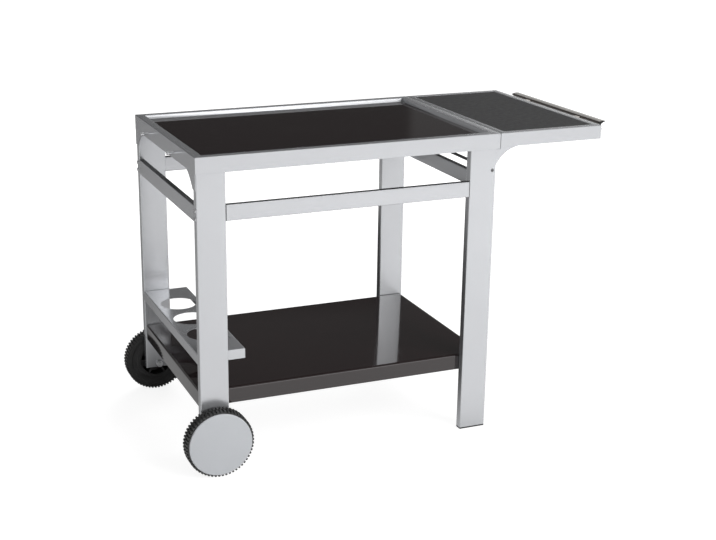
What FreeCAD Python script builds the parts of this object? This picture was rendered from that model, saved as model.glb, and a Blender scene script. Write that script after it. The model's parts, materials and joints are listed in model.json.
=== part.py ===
import FreeCAD, Part
import math
import os

# Outdoor cooking trolley: framed worktop on four flat legs, two wheels, two feet, a lower
# shelf, a bottle rack, utensil pegs and a side shelf that folds down on a rod.
# Lengths are millimetres. X runs along the worktop from the wheels to the handle,
# Y runs from the front to the back, Z is up from the floor.

# Worktop frame
TOP_HEIGHT = 800.0
FRAME_LENGTH = 802.0
FRAME_DEPTH = 560.0
FASCIA_HEIGHT = 40.0
SHEET = 1.5
RIM_WIDTH = 22.0
RIM_BEND = 2.0
LIP_LEAN = 3.0
LEDGE_WIDTH = 10.0
WORKTOP_RECESS = 10.0
WORKTOP_THICKNESS = 3.0
WORKTOP_CORNER = 3.0
PANEL_CLEARANCE = 0.5
GUSSET_LENGTH = 50.0
GUSSET_DROP = 40.0
GUSSET_BULGE = 4.0

# Legs and feet
LEG_WIDTH = 73.0
LEG_DEPTH = 22.0
LEG_WALL = 1.5
LEG_CORNER = 2.5
RIGHT_LEG_INSET = 9.0
FOOT_FLANGE = 4.0
FOOT_PLUG_HEIGHT = 20.0
FOOT_PLUG_CLEARANCE = 0.3

# Rails under the worktop
RAIL_DROP = 119.0
RAIL_HEIGHT = 40.0
RAIL_DEPTH = 15.0
RAIL_WALL = 1.5
RAIL_CORNER = 2.0
END_PLUG_FLANGE = 1.0
END_PLUG_CORE = 14.0
END_PLUG_CLEARANCE = 0.1
RAIL_BOLT_SHANK = 6.0
RAIL_BOLT_SPACING = 20.0
RAIL_BOLT_HEAD_RADIUS = 5.0
RAIL_BOLT_HEAD_HEIGHT = 3.0
RAIL_BOLT_HEAD_TAPER = 1.5
HOLE_CLEARANCE = 0.05

# Lower shelf
SHELF_TOP_HEIGHT = 207.0
SHELF_HEIGHT = 42.0
SHELF_SHEET = 1.5
SHELF_CORNER = 6.0
SHELF_RETURN = 12.0
SHELF_END_INSET = 3.0

# Bottle rack
RACK_TOP_HEIGHT = 306.0
RACK_HEIGHT = 26.0
RACK_WIDTH = 123.5
RACK_SHEET = 1.5
RACK_CORNER = 3.0
RACK_HOLES = 3
RACK_HOLE_RADIUS = 47.5
RACK_HOLE_SPACING = 125.0

# Coach screws that hold the shelf and the rack to the legs
SCREW_SHANK = 5.0
SCREW_HEAD_RADIUS = 4.5
SCREW_HEAD_HEIGHT = 2.5
SCREW_GRIP = 5.0

# Utensil pegs on the left end
PEG_SPACING = 240.0
PEG_REACH = 25.0
PEG_RADIUS = 3.0
PEG_HEAD_RADIUS = 5.5
PEG_HEAD_LENGTH = 7.0
PEG_HEAD_TAPER = 2.0

# Wheels
TYRE_RADIUS = 87.0
TYRE_WIDTH = 34.0
TREAD_DEPTH = 2.5
TREAD_TEETH = 80
TREAD_TIP_SHARE = 0.4
RIM_RADIUS = 48.0
RIM_WALL = 4.0
TYRE_SEAT_CLEARANCE = 0.1
HUB_BOSS_WALL = 4.0
HUB_WEB = 3.0
HUB_SPOKES = 6
SPOKE_THICKNESS = 6.0
SPOKE_SETBACK = 3.0
WHEEL_LEG_GAP = 7.0
SPACER_LENGTH = 5.0
SPACER_RADIUS = 11.0
BODY_CLEARANCE = 0.3
RUNNING_CLEARANCE = 0.05
AXLE_RADIUS = 6.0
AXLE_END = 3.0
AXLE_NUT_RADIUS = 9.5
AXLE_NUT_HEIGHT = 9.0
AXLE_BEYOND_NUT = 1.0
RETAINER_FROM_END = 3.0
RETAINER_RADIUS = 10.0
RETAINER_THICKNESS = 1.5
RETAINER_POCKET_GAP = 1.0
CAP_RADIUS = 81.0
CAP_THICKNESS = 4.0
CAP_EDGE = 1.5
LEG_BELOW_AXLE = 10.0

# Side shelf
SIDE_LENGTH = 295.0
SIDE_GAP = 1.0
SIDE_FASCIA_HEIGHT = 36.0
SIDE_RIM_WIDTH = 18.0
SIDE_LEDGE_WIDTH = 9.0
SIDE_PANEL_RECESS = 1.0
SIDE_PANEL_THICKNESS = 2.0
SIDE_PANEL_CORNER = 2.0
PIVOT_FROM_LEG_EDGE = 10.2
PIVOT_DROP = 94.5
PIVOT_ROD_RADIUS = 4.0
ROD_CAP_RADIUS = 4.6
ROD_CAP_FACE = 3.0
ROD_CAP_HEIGHT = 1.0
ROD_CLIP_RADIUS = 8.0
ROD_CLIP_THICKNESS = 1.0
ARM_THICKNESS = 3.0
ARM_LOBE_RADIUS = 9.5
ARM_RADIUS = 82.0
ARM_REACH = 64.0
ARM_TAB = 24.0
ARM_TAB_HEIGHT = 26.0
ARM_TOP_CLEARANCE = 1.0
ARM_SLOT_CLEARANCE = 0.5
ARM_SLOT_DROP = 12.0

# Handle on the end of the side shelf
HANDLE_LENGTH = 456.0
HANDLE_REACH = 46.0
HANDLE_WIDTH = 22.0
HANDLE_EDGE = 2.0
HANDLE_INNER_DROP = 4.5
HANDLE_OUTER_DROP = 1.5
HANDLE_CROWN = 1.5
HANDLE_WEB_START = 5.0
HANDLE_WEB = 4.0
HANDLE_NECK = 10.0
HANDLE_ANKLE = 17.0
HANDLE_DROP = 24.0
HANDLE_TOE = 6.0
HANDLE_HOLLOW = 1.2
BRACKET_SPACING = 260.0
BRACKET_WIDTH = 18.0
BRACKET_HEIGHT = 11.0
BRACKET_DROP = 5.0
BRACKET_CORNER = 1.5
BRACKET_SCREW_GRIP = 15.0

# Places that follow from the sizes above
LEG_FRONT = SHEET
LEG_BACK = LEG_FRONT + LEG_DEPTH
LEFT_LEG_X = SHEET
RIGHT_LEG_X = FRAME_LENGTH - RIGHT_LEG_INSET - LEG_WIDTH
RIGHT_LEG_END = RIGHT_LEG_X + LEG_WIDTH
WORKTOP_TOP = TOP_HEIGHT - WORKTOP_RECESS
WORKTOP_BOTTOM = WORKTOP_TOP - WORKTOP_THICKNESS
LEG_TOP = WORKTOP_BOTTOM - SHEET
AXLE_X = LEFT_LEG_X + LEG_WIDTH / 2
AXLE_Z = TYRE_RADIUS
LEFT_LEG_FOOT = AXLE_Z - LEG_BELOW_AXLE
RAIL_TOP = TOP_HEIGHT - RAIL_DROP
RAIL_BOTTOM = RAIL_TOP - RAIL_HEIGHT
RAIL_MIDDLE = RAIL_TOP - RAIL_HEIGHT / 2
SHELF_BOTTOM = SHELF_TOP_HEIGHT - SHELF_HEIGHT
MIDDLE_Y = FRAME_DEPTH / 2
SIDE_START = FRAME_LENGTH + SIDE_GAP
SIDE_END = SIDE_START + SIDE_LENGTH
SIDE_BOTTOM = TOP_HEIGHT - SIDE_FASCIA_HEIGHT
PIVOT_X = RIGHT_LEG_END - PIVOT_FROM_LEG_EDGE
PIVOT_Z = TOP_HEIGHT - PIVOT_DROP
ARM_FRONT = LEG_FRONT + LEG_WALL + BODY_CLEARANCE
ARM_BACK = ARM_FRONT + ARM_THICKNESS
TYRE_INNER_Y = LEG_FRONT - WHEEL_LEG_GAP
TYRE_OUTER_Y = TYRE_INNER_Y - TYRE_WIDTH
CAP_BACK_Y = TYRE_OUTER_Y - BODY_CLEARANCE
CAP_FACE_Y = CAP_BACK_Y - CAP_THICKNESS
SPACER_END_Y = LEG_FRONT - SPACER_LENGTH
HUB_INNER_Y = SPACER_END_Y - BODY_CLEARANCE
HANDLE_END = SIDE_END + HANDLE_REACH
SHIFT_X = -(AXLE_X - TYRE_RADIUS + HANDLE_END) / 2
SHIFT_Y = -MIDDLE_Y

OVERCUT = 5.0
PARALLEL_LIMIT = 1e-6
HEXAGON_SIDES = 6
FULL_TURN = 360
AXIS_X = FreeCAD.Vector(1, 0, 0)
AXIS_Y = FreeCAD.Vector(0, 1, 0)
AXIS_Z = FreeCAD.Vector(0, 0, 1)


def point(x, y, z):
    return FreeCAD.Vector(x, y, z)


# General shapes

def box(x0, x1, y0, y1, z0, z1):
    return Part.makeBox(x1 - x0, y1 - y0, z1 - z0, point(x0, y0, z0))


def edges_along(shape, axis):
    found = []
    for edge in shape.Edges:
        ends = edge.Vertexes
        if len(ends) == 2:
            run = ends[1].Point - ends[0].Point
            if run.cross(axis).Length < PARALLEL_LIMIT:
                found.append(edge)
    return found


def rounded_bar(x0, x1, y0, y1, z0, z1, axis, radius):
    bar = box(x0, x1, y0, y1, z0, z1)
    return bar.makeFillet(radius, edges_along(bar, axis))


def rod(radius, start, end):
    run = end - start
    return Part.makeCylinder(radius, run.Length, start, run)


def square_bar(width, start, end):
    """Square bar between two points on a line along X or Y."""
    spans = []
    for one, other in zip(start, end):
        low, high = sorted((one, other))
        grow = width / 2 if low == high else 0
        spans += [low - grow, high + grow]
    return box(*spans)


def hexagon_bar(radius, start, end):
    """Six-sided bar between two points on a line along X or Y."""
    along = end - start
    corner = along.cross(AXIS_Z).normalize() * radius
    corners = []
    for index in range(HEXAGON_SIDES):
        turn = FreeCAD.Rotation(along, FULL_TURN * index / HEXAGON_SIDES)
        corners.append(start + turn.multVec(corner))
    return Part.Face(Part.makePolygon(corners + corners[:1])).extrude(along)


def to_back(shape):
    """The same piece on the other side of the middle plane between front and back."""
    return shape.mirror(point(0, MIDDLE_Y, 0), AXIS_Y)


def rounded_wire(corners, radii, place):
    """A closed outline in flat coordinates, each corner rounded by its own radius."""
    count = len(corners)
    starts = []
    middles = []
    stops = []
    for index in range(count):
        corner = FreeCAD.Vector(corners[index][0], corners[index][1], 0)
        before = FreeCAD.Vector(*corners[index - 1], 0) - corner
        after = FreeCAD.Vector(*corners[(index + 1) % count], 0) - corner
        before.normalize()
        after.normalize()
        half = before.getAngle(after) / 2
        radius = radii[index]
        setback = radius / math.tan(half)
        inward = before + after
        if radius:
            inward.normalize()
        starts.append(corner + before * setback)
        stops.append(corner + after * setback)
        middles.append(corner + inward * (radius / math.sin(half) - radius))
    edges = []
    for index in range(count):
        if radii[index]:
            arc_points = [place(starts[index]), place(middles[index]), place(stops[index])]
            edges.append(Part.Arc(*arc_points).toShape())
        following = (index + 1) % count
        edges.append(Part.makeLine(place(stops[index]), place(starts[following])))
    return Part.Wire(edges)


def on_yz(x):
    return lambda flat: point(x, flat.x, flat.y)


def on_xz(y):
    return lambda flat: point(flat.x, y, flat.y)


def bulged(start, stop, bulge, normal):
    """The side from start to stop, straight or as an arc that bulges to its left."""
    if not bulge:
        return Part.makeLine(start, stop)
    across = (stop - start).cross(normal)
    across.normalize()
    return Part.Arc(start, (start + stop) / 2 + across * bulge, stop).toShape()


def turned(outline, centre_x, centre_z):
    """A piece turned about a line along Y: outline holds radius and Y pairs."""
    corners = [point(centre_x + radius, y, centre_z) for radius, y in outline]
    face = Part.Face(Part.makePolygon(corners + corners[:1]))
    return face.revolve(point(centre_x, 0, centre_z), AXIS_Y, 360)


def turned_on_x(outline, centre_y, centre_z):
    """A piece turned about a line along X: outline holds X and radius pairs."""
    corners = [point(x, centre_y, centre_z + radius) for x, radius in outline]
    face = Part.Face(Part.makePolygon(corners + corners[:1]))
    return face.revolve(point(0, centre_y, centre_z), AXIS_X, 360)


def around_axle(shape, index, count):
    turn = shape.copy()
    turn.rotate(point(AXLE_X, 0, AXLE_Z), AXIS_Y, index * 360.0 / count)
    return turn


# Folded rim of the worktop and of the side shelf

def rim_section(height, rim, ledge, panel_drop):
    """Folded sheet: fascia, rim, leaning lip and the ledge that carries the panel."""
    top = TOP_HEIGHT
    ledge_top = top - panel_drop
    lean = LIP_LEAN * panel_drop / (WORKTOP_RECESS + WORKTOP_THICKNESS)
    corners = [
        (0, top - height),
        (0, top),
        (rim, top),
        (rim + lean, ledge_top),
        (rim + lean + ledge, ledge_top),
        (rim + lean + ledge, ledge_top - SHEET),
        (rim + lean - SHEET, ledge_top - SHEET),
        (rim - SHEET, top - SHEET),
        (SHEET, top - SHEET),
        (SHEET, top - height),
    ]
    radii = [0, RIM_BEND, RIM_BEND, 0, 0, 0, 0, 0, 0, 0]
    return corners, radii


def mitred(bar, x0, x1, y0, y1, side):
    """Cut a bar that lies along one side of a rectangle at 45 degrees at both ends."""
    half = (y1 - y0) / 2
    near = min(half, (x1 - x0) / 2)
    plans = {
        "front": [(x0, y0), (x1, y0), (x1 - near, y0 + near), (x0 + near, y0 + near)],
        "left": [(x0, y0), (x0 + near, y0 + near), (x0 + near, y1 - near), (x0, y1)],
        "right": [(x1, y0), (x1, y1), (x1 - near, y1 - near), (x1 - near, y0 + near)],
    }
    corners = [point(x, y, 0) for x, y in plans[side]]
    plan = Part.Face(Part.makePolygon(corners + corners[:1]))
    return bar.common(plan.extrude(AXIS_Z * (TOP_HEIGHT + OVERCUT)))


def front_member(section, x0, x1):
    corners, radii = section
    wire = rounded_wire(corners, radii, on_yz(x0))
    bar = Part.Face(wire).extrude(AXIS_X * (x1 - x0))
    return mitred(bar, x0, x1, 0, FRAME_DEPTH, "front")


def end_member(section, x0, x1, side):
    corners, radii = section
    if side == "left":
        placed = [(x0 + u, z) for u, z in corners]
    else:
        placed = [(x1 - u, z) for u, z in corners]
    wire = rounded_wire(placed, radii, on_xz(0))
    bar = Part.Face(wire).extrude(AXIS_Y * FRAME_DEPTH)
    return mitred(bar, x0, x1, 0, FRAME_DEPTH, side)


def worktop_section():
    drop = WORKTOP_RECESS + WORKTOP_THICKNESS
    return rim_section(FASCIA_HEIGHT, RIM_WIDTH, LEDGE_WIDTH, drop)


def side_section():
    drop = SIDE_PANEL_RECESS + SIDE_PANEL_THICKNESS
    return rim_section(SIDE_FASCIA_HEIGHT, SIDE_RIM_WIDTH, SIDE_LEDGE_WIDTH, drop)


def panel_inset(rim, panel_drop):
    lean = LIP_LEAN * panel_drop / (WORKTOP_RECESS + WORKTOP_THICKNESS)
    return rim + lean + PANEL_CLEARANCE


def panel(x0, x1, inset, top, thickness, corner):
    return rounded_bar(
        x0 + inset, x1 - inset, inset, FRAME_DEPTH - inset, top - thickness, top, AXIS_Z, corner
    )


def worktop():
    drop = WORKTOP_RECESS + WORKTOP_THICKNESS
    inset = panel_inset(RIM_WIDTH, drop)
    return panel(0, FRAME_LENGTH, inset, WORKTOP_TOP, WORKTOP_THICKNESS, WORKTOP_CORNER)


def corner_gusset():
    """Flared plate under the left fascia, over the narrow side of the front leg."""
    top = TOP_HEIGHT - FASCIA_HEIGHT
    bottom = top - GUSSET_DROP
    far = LEG_BACK + GUSSET_LENGTH
    start = point(0, far, top)
    stop = point(0, LEG_BACK, bottom)
    edges = [
        bulged(start, stop, GUSSET_BULGE, AXIS_X),
        Part.makeLine(stop, point(0, SHEET, bottom)),
        Part.makeLine(point(0, SHEET, bottom), point(0, SHEET, top)),
        Part.makeLine(point(0, SHEET, top), start),
    ]
    return Part.Face(Part.Wire(edges)).extrude(AXIS_X * SHEET)


def frame_left():
    member = end_member(worktop_section(), 0, FRAME_LENGTH, "left")
    gusset = corner_gusset()
    member = member.fuse([gusset, to_back(gusset)]).removeSplitter()
    for y in peg_places():
        hole = rod(PEG_RADIUS, point(-OVERCUT, y, peg_height()), point(OVERCUT, y, peg_height()))
        member = member.cut(hole)
    return member


# Legs, feet and rails

def leg(x, foot):
    outer = rounded_bar(x, x + LEG_WIDTH, LEG_FRONT, LEG_BACK, foot, LEG_TOP, AXIS_Z, LEG_CORNER)
    inner = box(
        x + LEG_WALL,
        x + LEG_WIDTH - LEG_WALL,
        LEG_FRONT + LEG_WALL,
        LEG_BACK - LEG_WALL,
        foot - OVERCUT,
        LEG_TOP + OVERCUT,
    )
    return outer.cut([inner] + screw_hole(x, shelf_screw_height()))


def left_leg():
    tube = leg(LEFT_LEG_X, LEFT_LEG_FOOT)
    front = point(AXLE_X, LEG_FRONT - OVERCUT, AXLE_Z)
    back = point(AXLE_X, LEG_BACK + OVERCUT, AXLE_Z)
    tools = [rod(AXLE_RADIUS + HOLE_CLEARANCE, front, back)]
    tools += rail_bolt_holes(LEFT_LEG_X - OVERCUT, LEFT_LEG_X + LEG_WIDTH + OVERCUT)
    tools += screw_hole(LEFT_LEG_X, rack_screw_height())
    return tube.cut(tools)


def right_leg():
    tube = leg(RIGHT_LEG_X, FOOT_FLANGE)
    front = point(PIVOT_X, LEG_FRONT - OVERCUT, PIVOT_Z)
    back = point(PIVOT_X, LEG_BACK + OVERCUT, PIVOT_Z)
    slot = box(
        RIGHT_LEG_END - LEG_CORNER - LEG_WALL,
        RIGHT_LEG_END + OVERCUT,
        ARM_FRONT - BODY_CLEARANCE,
        ARM_BACK + ARM_SLOT_CLEARANCE,
        PIVOT_Z - ARM_SLOT_DROP,
        LEG_TOP + OVERCUT,
    )
    tools = [rod(PIVOT_ROD_RADIUS + HOLE_CLEARANCE, front, back), slot]
    tools += rail_bolt_holes(RIGHT_LEG_X - OVERCUT, RIGHT_LEG_X + LEG_DEPTH)
    return tube.cut(tools)


def foot():
    """Plastic foot: a flange under the tube and a plug inside it."""
    flange = rounded_bar(
        RIGHT_LEG_X, RIGHT_LEG_END, LEG_FRONT, LEG_BACK, 0, FOOT_FLANGE, AXIS_Z, LEG_CORNER
    )
    gap = LEG_WALL + FOOT_PLUG_CLEARANCE
    plug = box(
        RIGHT_LEG_X + gap,
        RIGHT_LEG_END - gap,
        LEG_FRONT + gap,
        LEG_BACK - gap,
        FOOT_FLANGE,
        FOOT_FLANGE + FOOT_PLUG_HEIGHT,
    )
    return flange.fuse(plug)


def long_rail():
    """Tube between the front legs, with a plug flange at each end."""
    x0 = LEFT_LEG_X + LEG_WIDTH + END_PLUG_FLANGE
    x1 = RIGHT_LEG_X - END_PLUG_FLANGE
    y1 = LEG_FRONT + RAIL_DEPTH
    outer = rounded_bar(x0, x1, LEG_FRONT, y1, RAIL_BOTTOM, RAIL_TOP, AXIS_X, RAIL_CORNER)
    inner = box(
        x0 - OVERCUT,
        x1 + OVERCUT,
        LEG_FRONT + RAIL_WALL,
        y1 - RAIL_WALL,
        RAIL_BOTTOM + RAIL_WALL,
        RAIL_TOP - RAIL_WALL,
    )
    return outer.cut(inner)


def short_rail(x0):
    """Tube between a front and a back leg."""
    x1 = x0 + RAIL_DEPTH
    y1 = FRAME_DEPTH - LEG_BACK
    outer = rounded_bar(x0, x1, LEG_BACK, y1, RAIL_BOTTOM, RAIL_TOP, AXIS_Y, RAIL_CORNER)
    inner = box(
        x0 + RAIL_WALL,
        x1 - RAIL_WALL,
        LEG_BACK - OVERCUT,
        y1 + OVERCUT,
        RAIL_BOTTOM + RAIL_WALL,
        RAIL_TOP - RAIL_WALL,
    )
    return outer.cut(inner)


def rail_bolt_heights():
    return [RAIL_MIDDLE - RAIL_BOLT_SPACING / 2, RAIL_MIDDLE + RAIL_BOLT_SPACING / 2]


def rail_bolt_holes(low, high):
    y = LEG_FRONT + RAIL_DEPTH / 2
    width = RAIL_BOLT_SHANK + 2 * HOLE_CLEARANCE
    return [square_bar(width, point(low, y, z), point(high, y, z)) for z in rail_bolt_heights()]


def end_plug(leg_face, direction):
    """Plug in one end of a long rail: flange against the leg and a bored core in the tube."""
    y0 = LEG_FRONT
    y1 = LEG_FRONT + RAIL_DEPTH
    gap = RAIL_WALL + END_PLUG_CLEARANCE
    near = leg_face
    middle = leg_face + direction * END_PLUG_FLANGE
    far = middle + direction * END_PLUG_CORE
    low, high = sorted((near, middle))
    flange = box(low, high, y0, y1, RAIL_BOTTOM, RAIL_TOP)
    low, high = sorted((middle, far))
    core = box(low, high, y0 + gap, y1 - gap, RAIL_BOTTOM + gap, RAIL_TOP - gap)
    low, high = sorted((near - direction * OVERCUT, far + direction * OVERCUT))
    return flange.fuse(core).cut(rail_bolt_holes(low, high))


def rail_end_plugs():
    front = [end_plug(LEFT_LEG_X + LEG_WIDTH, 1), end_plug(RIGHT_LEG_X, -1)]
    return Part.makeCompound(front + [to_back(plug) for plug in front])


def rail_bolt(seat, direction, grip, z):
    """Coach bolt: round head on the seat, square shank in the plug of a long rail."""
    y = LEG_FRONT + RAIL_DEPTH / 2
    crown = seat - direction * RAIL_BOLT_HEAD_HEIGHT
    outline = [
        (crown, 0),
        (crown, RAIL_BOLT_HEAD_RADIUS - RAIL_BOLT_HEAD_TAPER),
        (seat, RAIL_BOLT_HEAD_RADIUS),
        (seat, 0),
    ]
    tip = point(seat + direction * grip, y, z)
    shank = square_bar(RAIL_BOLT_SHANK, point(seat, y, z), tip)
    return turned_on_x(outline, y, z).fuse(shank)


def rail_bolts(seat, direction, through):
    """Bolts of one end of both long rails; through is the length inside the leg."""
    grip = through + END_PLUG_FLANGE + END_PLUG_CORE
    front = [rail_bolt(seat, direction, grip, z) for z in rail_bolt_heights()]
    return Part.makeCompound(front + [to_back(bolt) for bolt in front])


# Lower shelf and bottle rack

def bent_box(x0, x1, y0, y1, bottom, top, bend):
    """Block with rounded edges around its top."""
    block = box(x0, x1, y0, y1, bottom, top)
    upper = [edge for edge in block.Edges if edge.CenterOfMass.z > top - bend]
    return block.makeFillet(bend, upper)


def tray(x0, x1, top, height, sheet, corner, returned):
    """Folded tray, open below, between the front and the back legs."""
    y0 = LEG_BACK
    y1 = FRAME_DEPTH - LEG_BACK
    bottom = top - height
    outer = bent_box(x0, x1, y0, y1, bottom, top, corner)
    cavity = bent_box(
        x0 + sheet, x1 - sheet, y0 + sheet, y1 - sheet, bottom - OVERCUT, top - sheet, corner - sheet
    )
    if returned:
        floor = box(x0 - OVERCUT, x1 + OVERCUT, y0 - OVERCUT, y1 + OVERCUT, 0, bottom + sheet)
        mouth = box(
            x0 + returned, x1 - returned, y0 + returned, y1 - returned, 0, bottom + sheet
        )
        cavity = cavity.cut(floor.cut(mouth))
    return outer.cut(cavity)


def lower_shelf():
    shelf = tray(
        LEFT_LEG_X + SHELF_END_INSET,
        RIGHT_LEG_END - SHELF_END_INSET,
        SHELF_TOP_HEIGHT,
        SHELF_HEIGHT,
        SHELF_SHEET,
        SHELF_CORNER,
        SHELF_RETURN,
    )
    height = shelf_screw_height()
    return shelf.cut(screw_hole(LEFT_LEG_X, height) + screw_hole(RIGHT_LEG_X, height))


def rack_hole_places():
    first = MIDDLE_Y - RACK_HOLE_SPACING * (RACK_HOLES - 1) / 2
    return [first + index * RACK_HOLE_SPACING for index in range(RACK_HOLES)]


def bottle_rack():
    x0 = LEFT_LEG_X
    rack = tray(x0, x0 + RACK_WIDTH, RACK_TOP_HEIGHT, RACK_HEIGHT, RACK_SHEET, RACK_CORNER, 0)
    x = x0 + RACK_WIDTH / 2
    low = RACK_TOP_HEIGHT - RACK_HEIGHT
    high = RACK_TOP_HEIGHT + OVERCUT
    tools = [rod(RACK_HOLE_RADIUS, point(x, y, low), point(x, y, high)) for y in rack_hole_places()]
    return rack.cut(tools + screw_hole(LEFT_LEG_X, rack_screw_height()))


def coach_screw(crown, seat, tip):
    """Six-sided head from crown to seat and a square shank from the seat to the tip."""
    head = hexagon_bar(SCREW_HEAD_RADIUS, seat, crown)
    return head.fuse(square_bar(SCREW_SHANK, seat, tip))


def screw(leg_x, z, sheet):
    """Screw from inside a tray skirt into the wall of the front leg."""
    x = leg_x + LEG_WIDTH / 2
    seat = LEG_BACK + sheet
    crown = point(x, seat + SCREW_HEAD_HEIGHT, z)
    return coach_screw(crown, point(x, seat, z), point(x, LEG_BACK - SCREW_GRIP, z))


def screw_hole(leg_x, z):
    """Hole through the back wall of the front leg and a skirt, and its twin at the back."""
    x = leg_x + LEG_WIDTH / 2
    low = LEG_BACK - LEG_WALL - LEG_CORNER
    high = LEG_BACK + OVERCUT
    width = SCREW_SHANK + 2 * HOLE_CLEARANCE
    hole = square_bar(width, point(x, low, z), point(x, high, z))
    return [hole, to_back(hole)]


def shelf_screw_height():
    return SHELF_TOP_HEIGHT - SHELF_HEIGHT / 2


def rack_screw_height():
    return RACK_TOP_HEIGHT - RACK_HEIGHT / 2


def shelf_screws():
    legs = (LEFT_LEG_X, RIGHT_LEG_X)
    front = [screw(leg_x, shelf_screw_height(), SHELF_SHEET) for leg_x in legs]
    return Part.makeCompound(front + [to_back(piece) for piece in front])


def rack_screws():
    return pair(screw(LEFT_LEG_X, rack_screw_height(), RACK_SHEET))


# Utensil pegs

def peg_places():
    return [MIDDLE_Y - PEG_SPACING / 2, MIDDLE_Y + PEG_SPACING / 2]


def peg_height():
    return TOP_HEIGHT - FASCIA_HEIGHT / 2


def utensil_peg(y):
    """Turned peg: knob at the tip and a stem that ends in the hole of the fascia."""
    neck = -PEG_REACH + PEG_HEAD_LENGTH
    outline = [
        (-PEG_REACH, 0),
        (-PEG_REACH, PEG_HEAD_RADIUS - PEG_HEAD_TAPER),
        (-PEG_REACH + PEG_HEAD_TAPER, PEG_HEAD_RADIUS),
        (neck, PEG_HEAD_RADIUS),
        (neck, PEG_RADIUS),
        (SHEET, PEG_RADIUS),
        (SHEET, 0),
    ]
    return turned_on_x(outline, y, peg_height())


def utensil_pegs():
    return Part.makeCompound([utensil_peg(y) for y in peg_places()])


# Wheels and axles

def tread_outline():
    """Flat tooth tips with a notch after each, around the axle, from a tip at the floor."""
    pitch = 2 * math.pi / TREAD_TEETH
    half_tip = pitch * TREAD_TIP_SHARE / 2
    tip_radius = TYRE_RADIUS / math.cos(half_tip)
    root_radius = TYRE_RADIUS - TREAD_DEPTH
    corners = []
    for tooth in range(TREAD_TEETH):
        centre = tooth * pitch - math.pi / 2
        for angle, radius in (
            (centre - half_tip, tip_radius),
            (centre + half_tip, tip_radius),
            (centre + pitch / 2, root_radius),
        ):
            x = AXLE_X + radius * math.cos(angle)
            z = AXLE_Z + radius * math.sin(angle)
            corners.append(point(x, TYRE_INNER_Y, z))
    return Part.makePolygon(corners + corners[:1])


def tyre():
    """Toothed ring with a smooth seat for the hub."""
    block = Part.Face(tread_outline()).extrude(AXIS_Y * -TYRE_WIDTH)
    inner = point(AXLE_X, TYRE_INNER_Y + OVERCUT, AXLE_Z)
    outer = point(AXLE_X, TYRE_OUTER_Y - OVERCUT, AXLE_Z)
    return block.cut(rod(RIM_RADIUS, inner, outer))


def hub():
    """Rim, web, boss and spokes of one moulding: a bore, and a pocket for the retainer."""
    rim_outer = RIM_RADIUS - TYRE_SEAT_CLEARANCE
    rim_inner = RIM_RADIUS - RIM_WALL
    bore = AXLE_RADIUS + RUNNING_CLEARANCE
    pocket = RETAINER_RADIUS + RETAINER_POCKET_GAP
    boss = pocket + HUB_BOSS_WALL
    web_in = CAP_BACK_Y + HUB_WEB
    body = turned(
        [
            (bore, HUB_INNER_Y),
            (boss, HUB_INNER_Y),
            (boss, web_in),
            (rim_inner, web_in),
            (rim_inner, TYRE_INNER_Y),
            (rim_outer, TYRE_INNER_Y),
            (rim_outer, CAP_BACK_Y),
            (pocket, CAP_BACK_Y),
            (pocket, pocket_floor()),
            (bore, pocket_floor()),
        ],
        AXLE_X,
        AXLE_Z,
    )
    spoke_in = TYRE_INNER_Y - SPOKE_SETBACK
    half = SPOKE_THICKNESS / 2
    inner = boss - half
    outer = rim_inner + RIM_WALL / 2
    spoke = box(AXLE_X + inner, AXLE_X + outer, web_in, spoke_in, AXLE_Z - half, AXLE_Z + half)
    spokes = [around_axle(spoke, index, HUB_SPOKES) for index in range(HUB_SPOKES)]
    return body.fuse(spokes).removeSplitter()


def pocket_floor():
    """Face of the hub next to the axle retainer."""
    return TYRE_OUTER_Y + AXLE_END + RETAINER_FROM_END + RETAINER_THICKNESS + BODY_CLEARANCE


def wheel_cap():
    """Plain round cover with a bevelled edge, flat against the hub."""
    outline = [
        (0, CAP_FACE_Y),
        (CAP_RADIUS - CAP_EDGE, CAP_FACE_Y),
        (CAP_RADIUS, CAP_FACE_Y + CAP_EDGE),
        (CAP_RADIUS, CAP_BACK_Y),
        (0, CAP_BACK_Y),
    ]
    return turned(outline, AXLE_X, AXLE_Z)


def axle():
    """Stub axle through the leg, from its nut to the retainer inside the cap."""
    start = point(AXLE_X, LEG_BACK + AXLE_NUT_HEIGHT + AXLE_BEYOND_NUT, AXLE_Z)
    stop = point(AXLE_X, TYRE_OUTER_Y + AXLE_END, AXLE_Z)
    return rod(AXLE_RADIUS, start, stop)


def nut(radius, low, high):
    """Six-sided nut on the axle."""
    body = hexagon_bar(radius, point(AXLE_X, low, AXLE_Z), point(AXLE_X, high, AXLE_Z))
    start = point(AXLE_X, low - OVERCUT, AXLE_Z)
    return body.cut(rod(AXLE_RADIUS, start, point(AXLE_X, high + OVERCUT, AXLE_Z)))


def axle_nut():
    return nut(AXLE_NUT_RADIUS, LEG_BACK, LEG_BACK + AXLE_NUT_HEIGHT)


def axle_retainer():
    """Flat nut that keeps the wheel on its axle."""
    high = pocket_floor() - BODY_CLEARANCE
    return nut(RETAINER_RADIUS, high - RETAINER_THICKNESS, high)


def wheel_spacer():
    outline = [
        (AXLE_RADIUS, LEG_FRONT),
        (SPACER_RADIUS, LEG_FRONT),
        (SPACER_RADIUS, SPACER_END_Y),
        (AXLE_RADIUS, SPACER_END_Y),
    ]
    return turned(outline, AXLE_X, AXLE_Z)


def pair(shape):
    return Part.makeCompound([shape, to_back(shape)])


# Side shelf and its hinge

def side_panel():
    drop = SIDE_PANEL_RECESS + SIDE_PANEL_THICKNESS
    inset = panel_inset(SIDE_RIM_WIDTH, drop)
    top = TOP_HEIGHT - SIDE_PANEL_RECESS
    return panel(SIDE_START, SIDE_END, inset, top, SIDE_PANEL_THICKNESS, SIDE_PANEL_CORNER)


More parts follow.
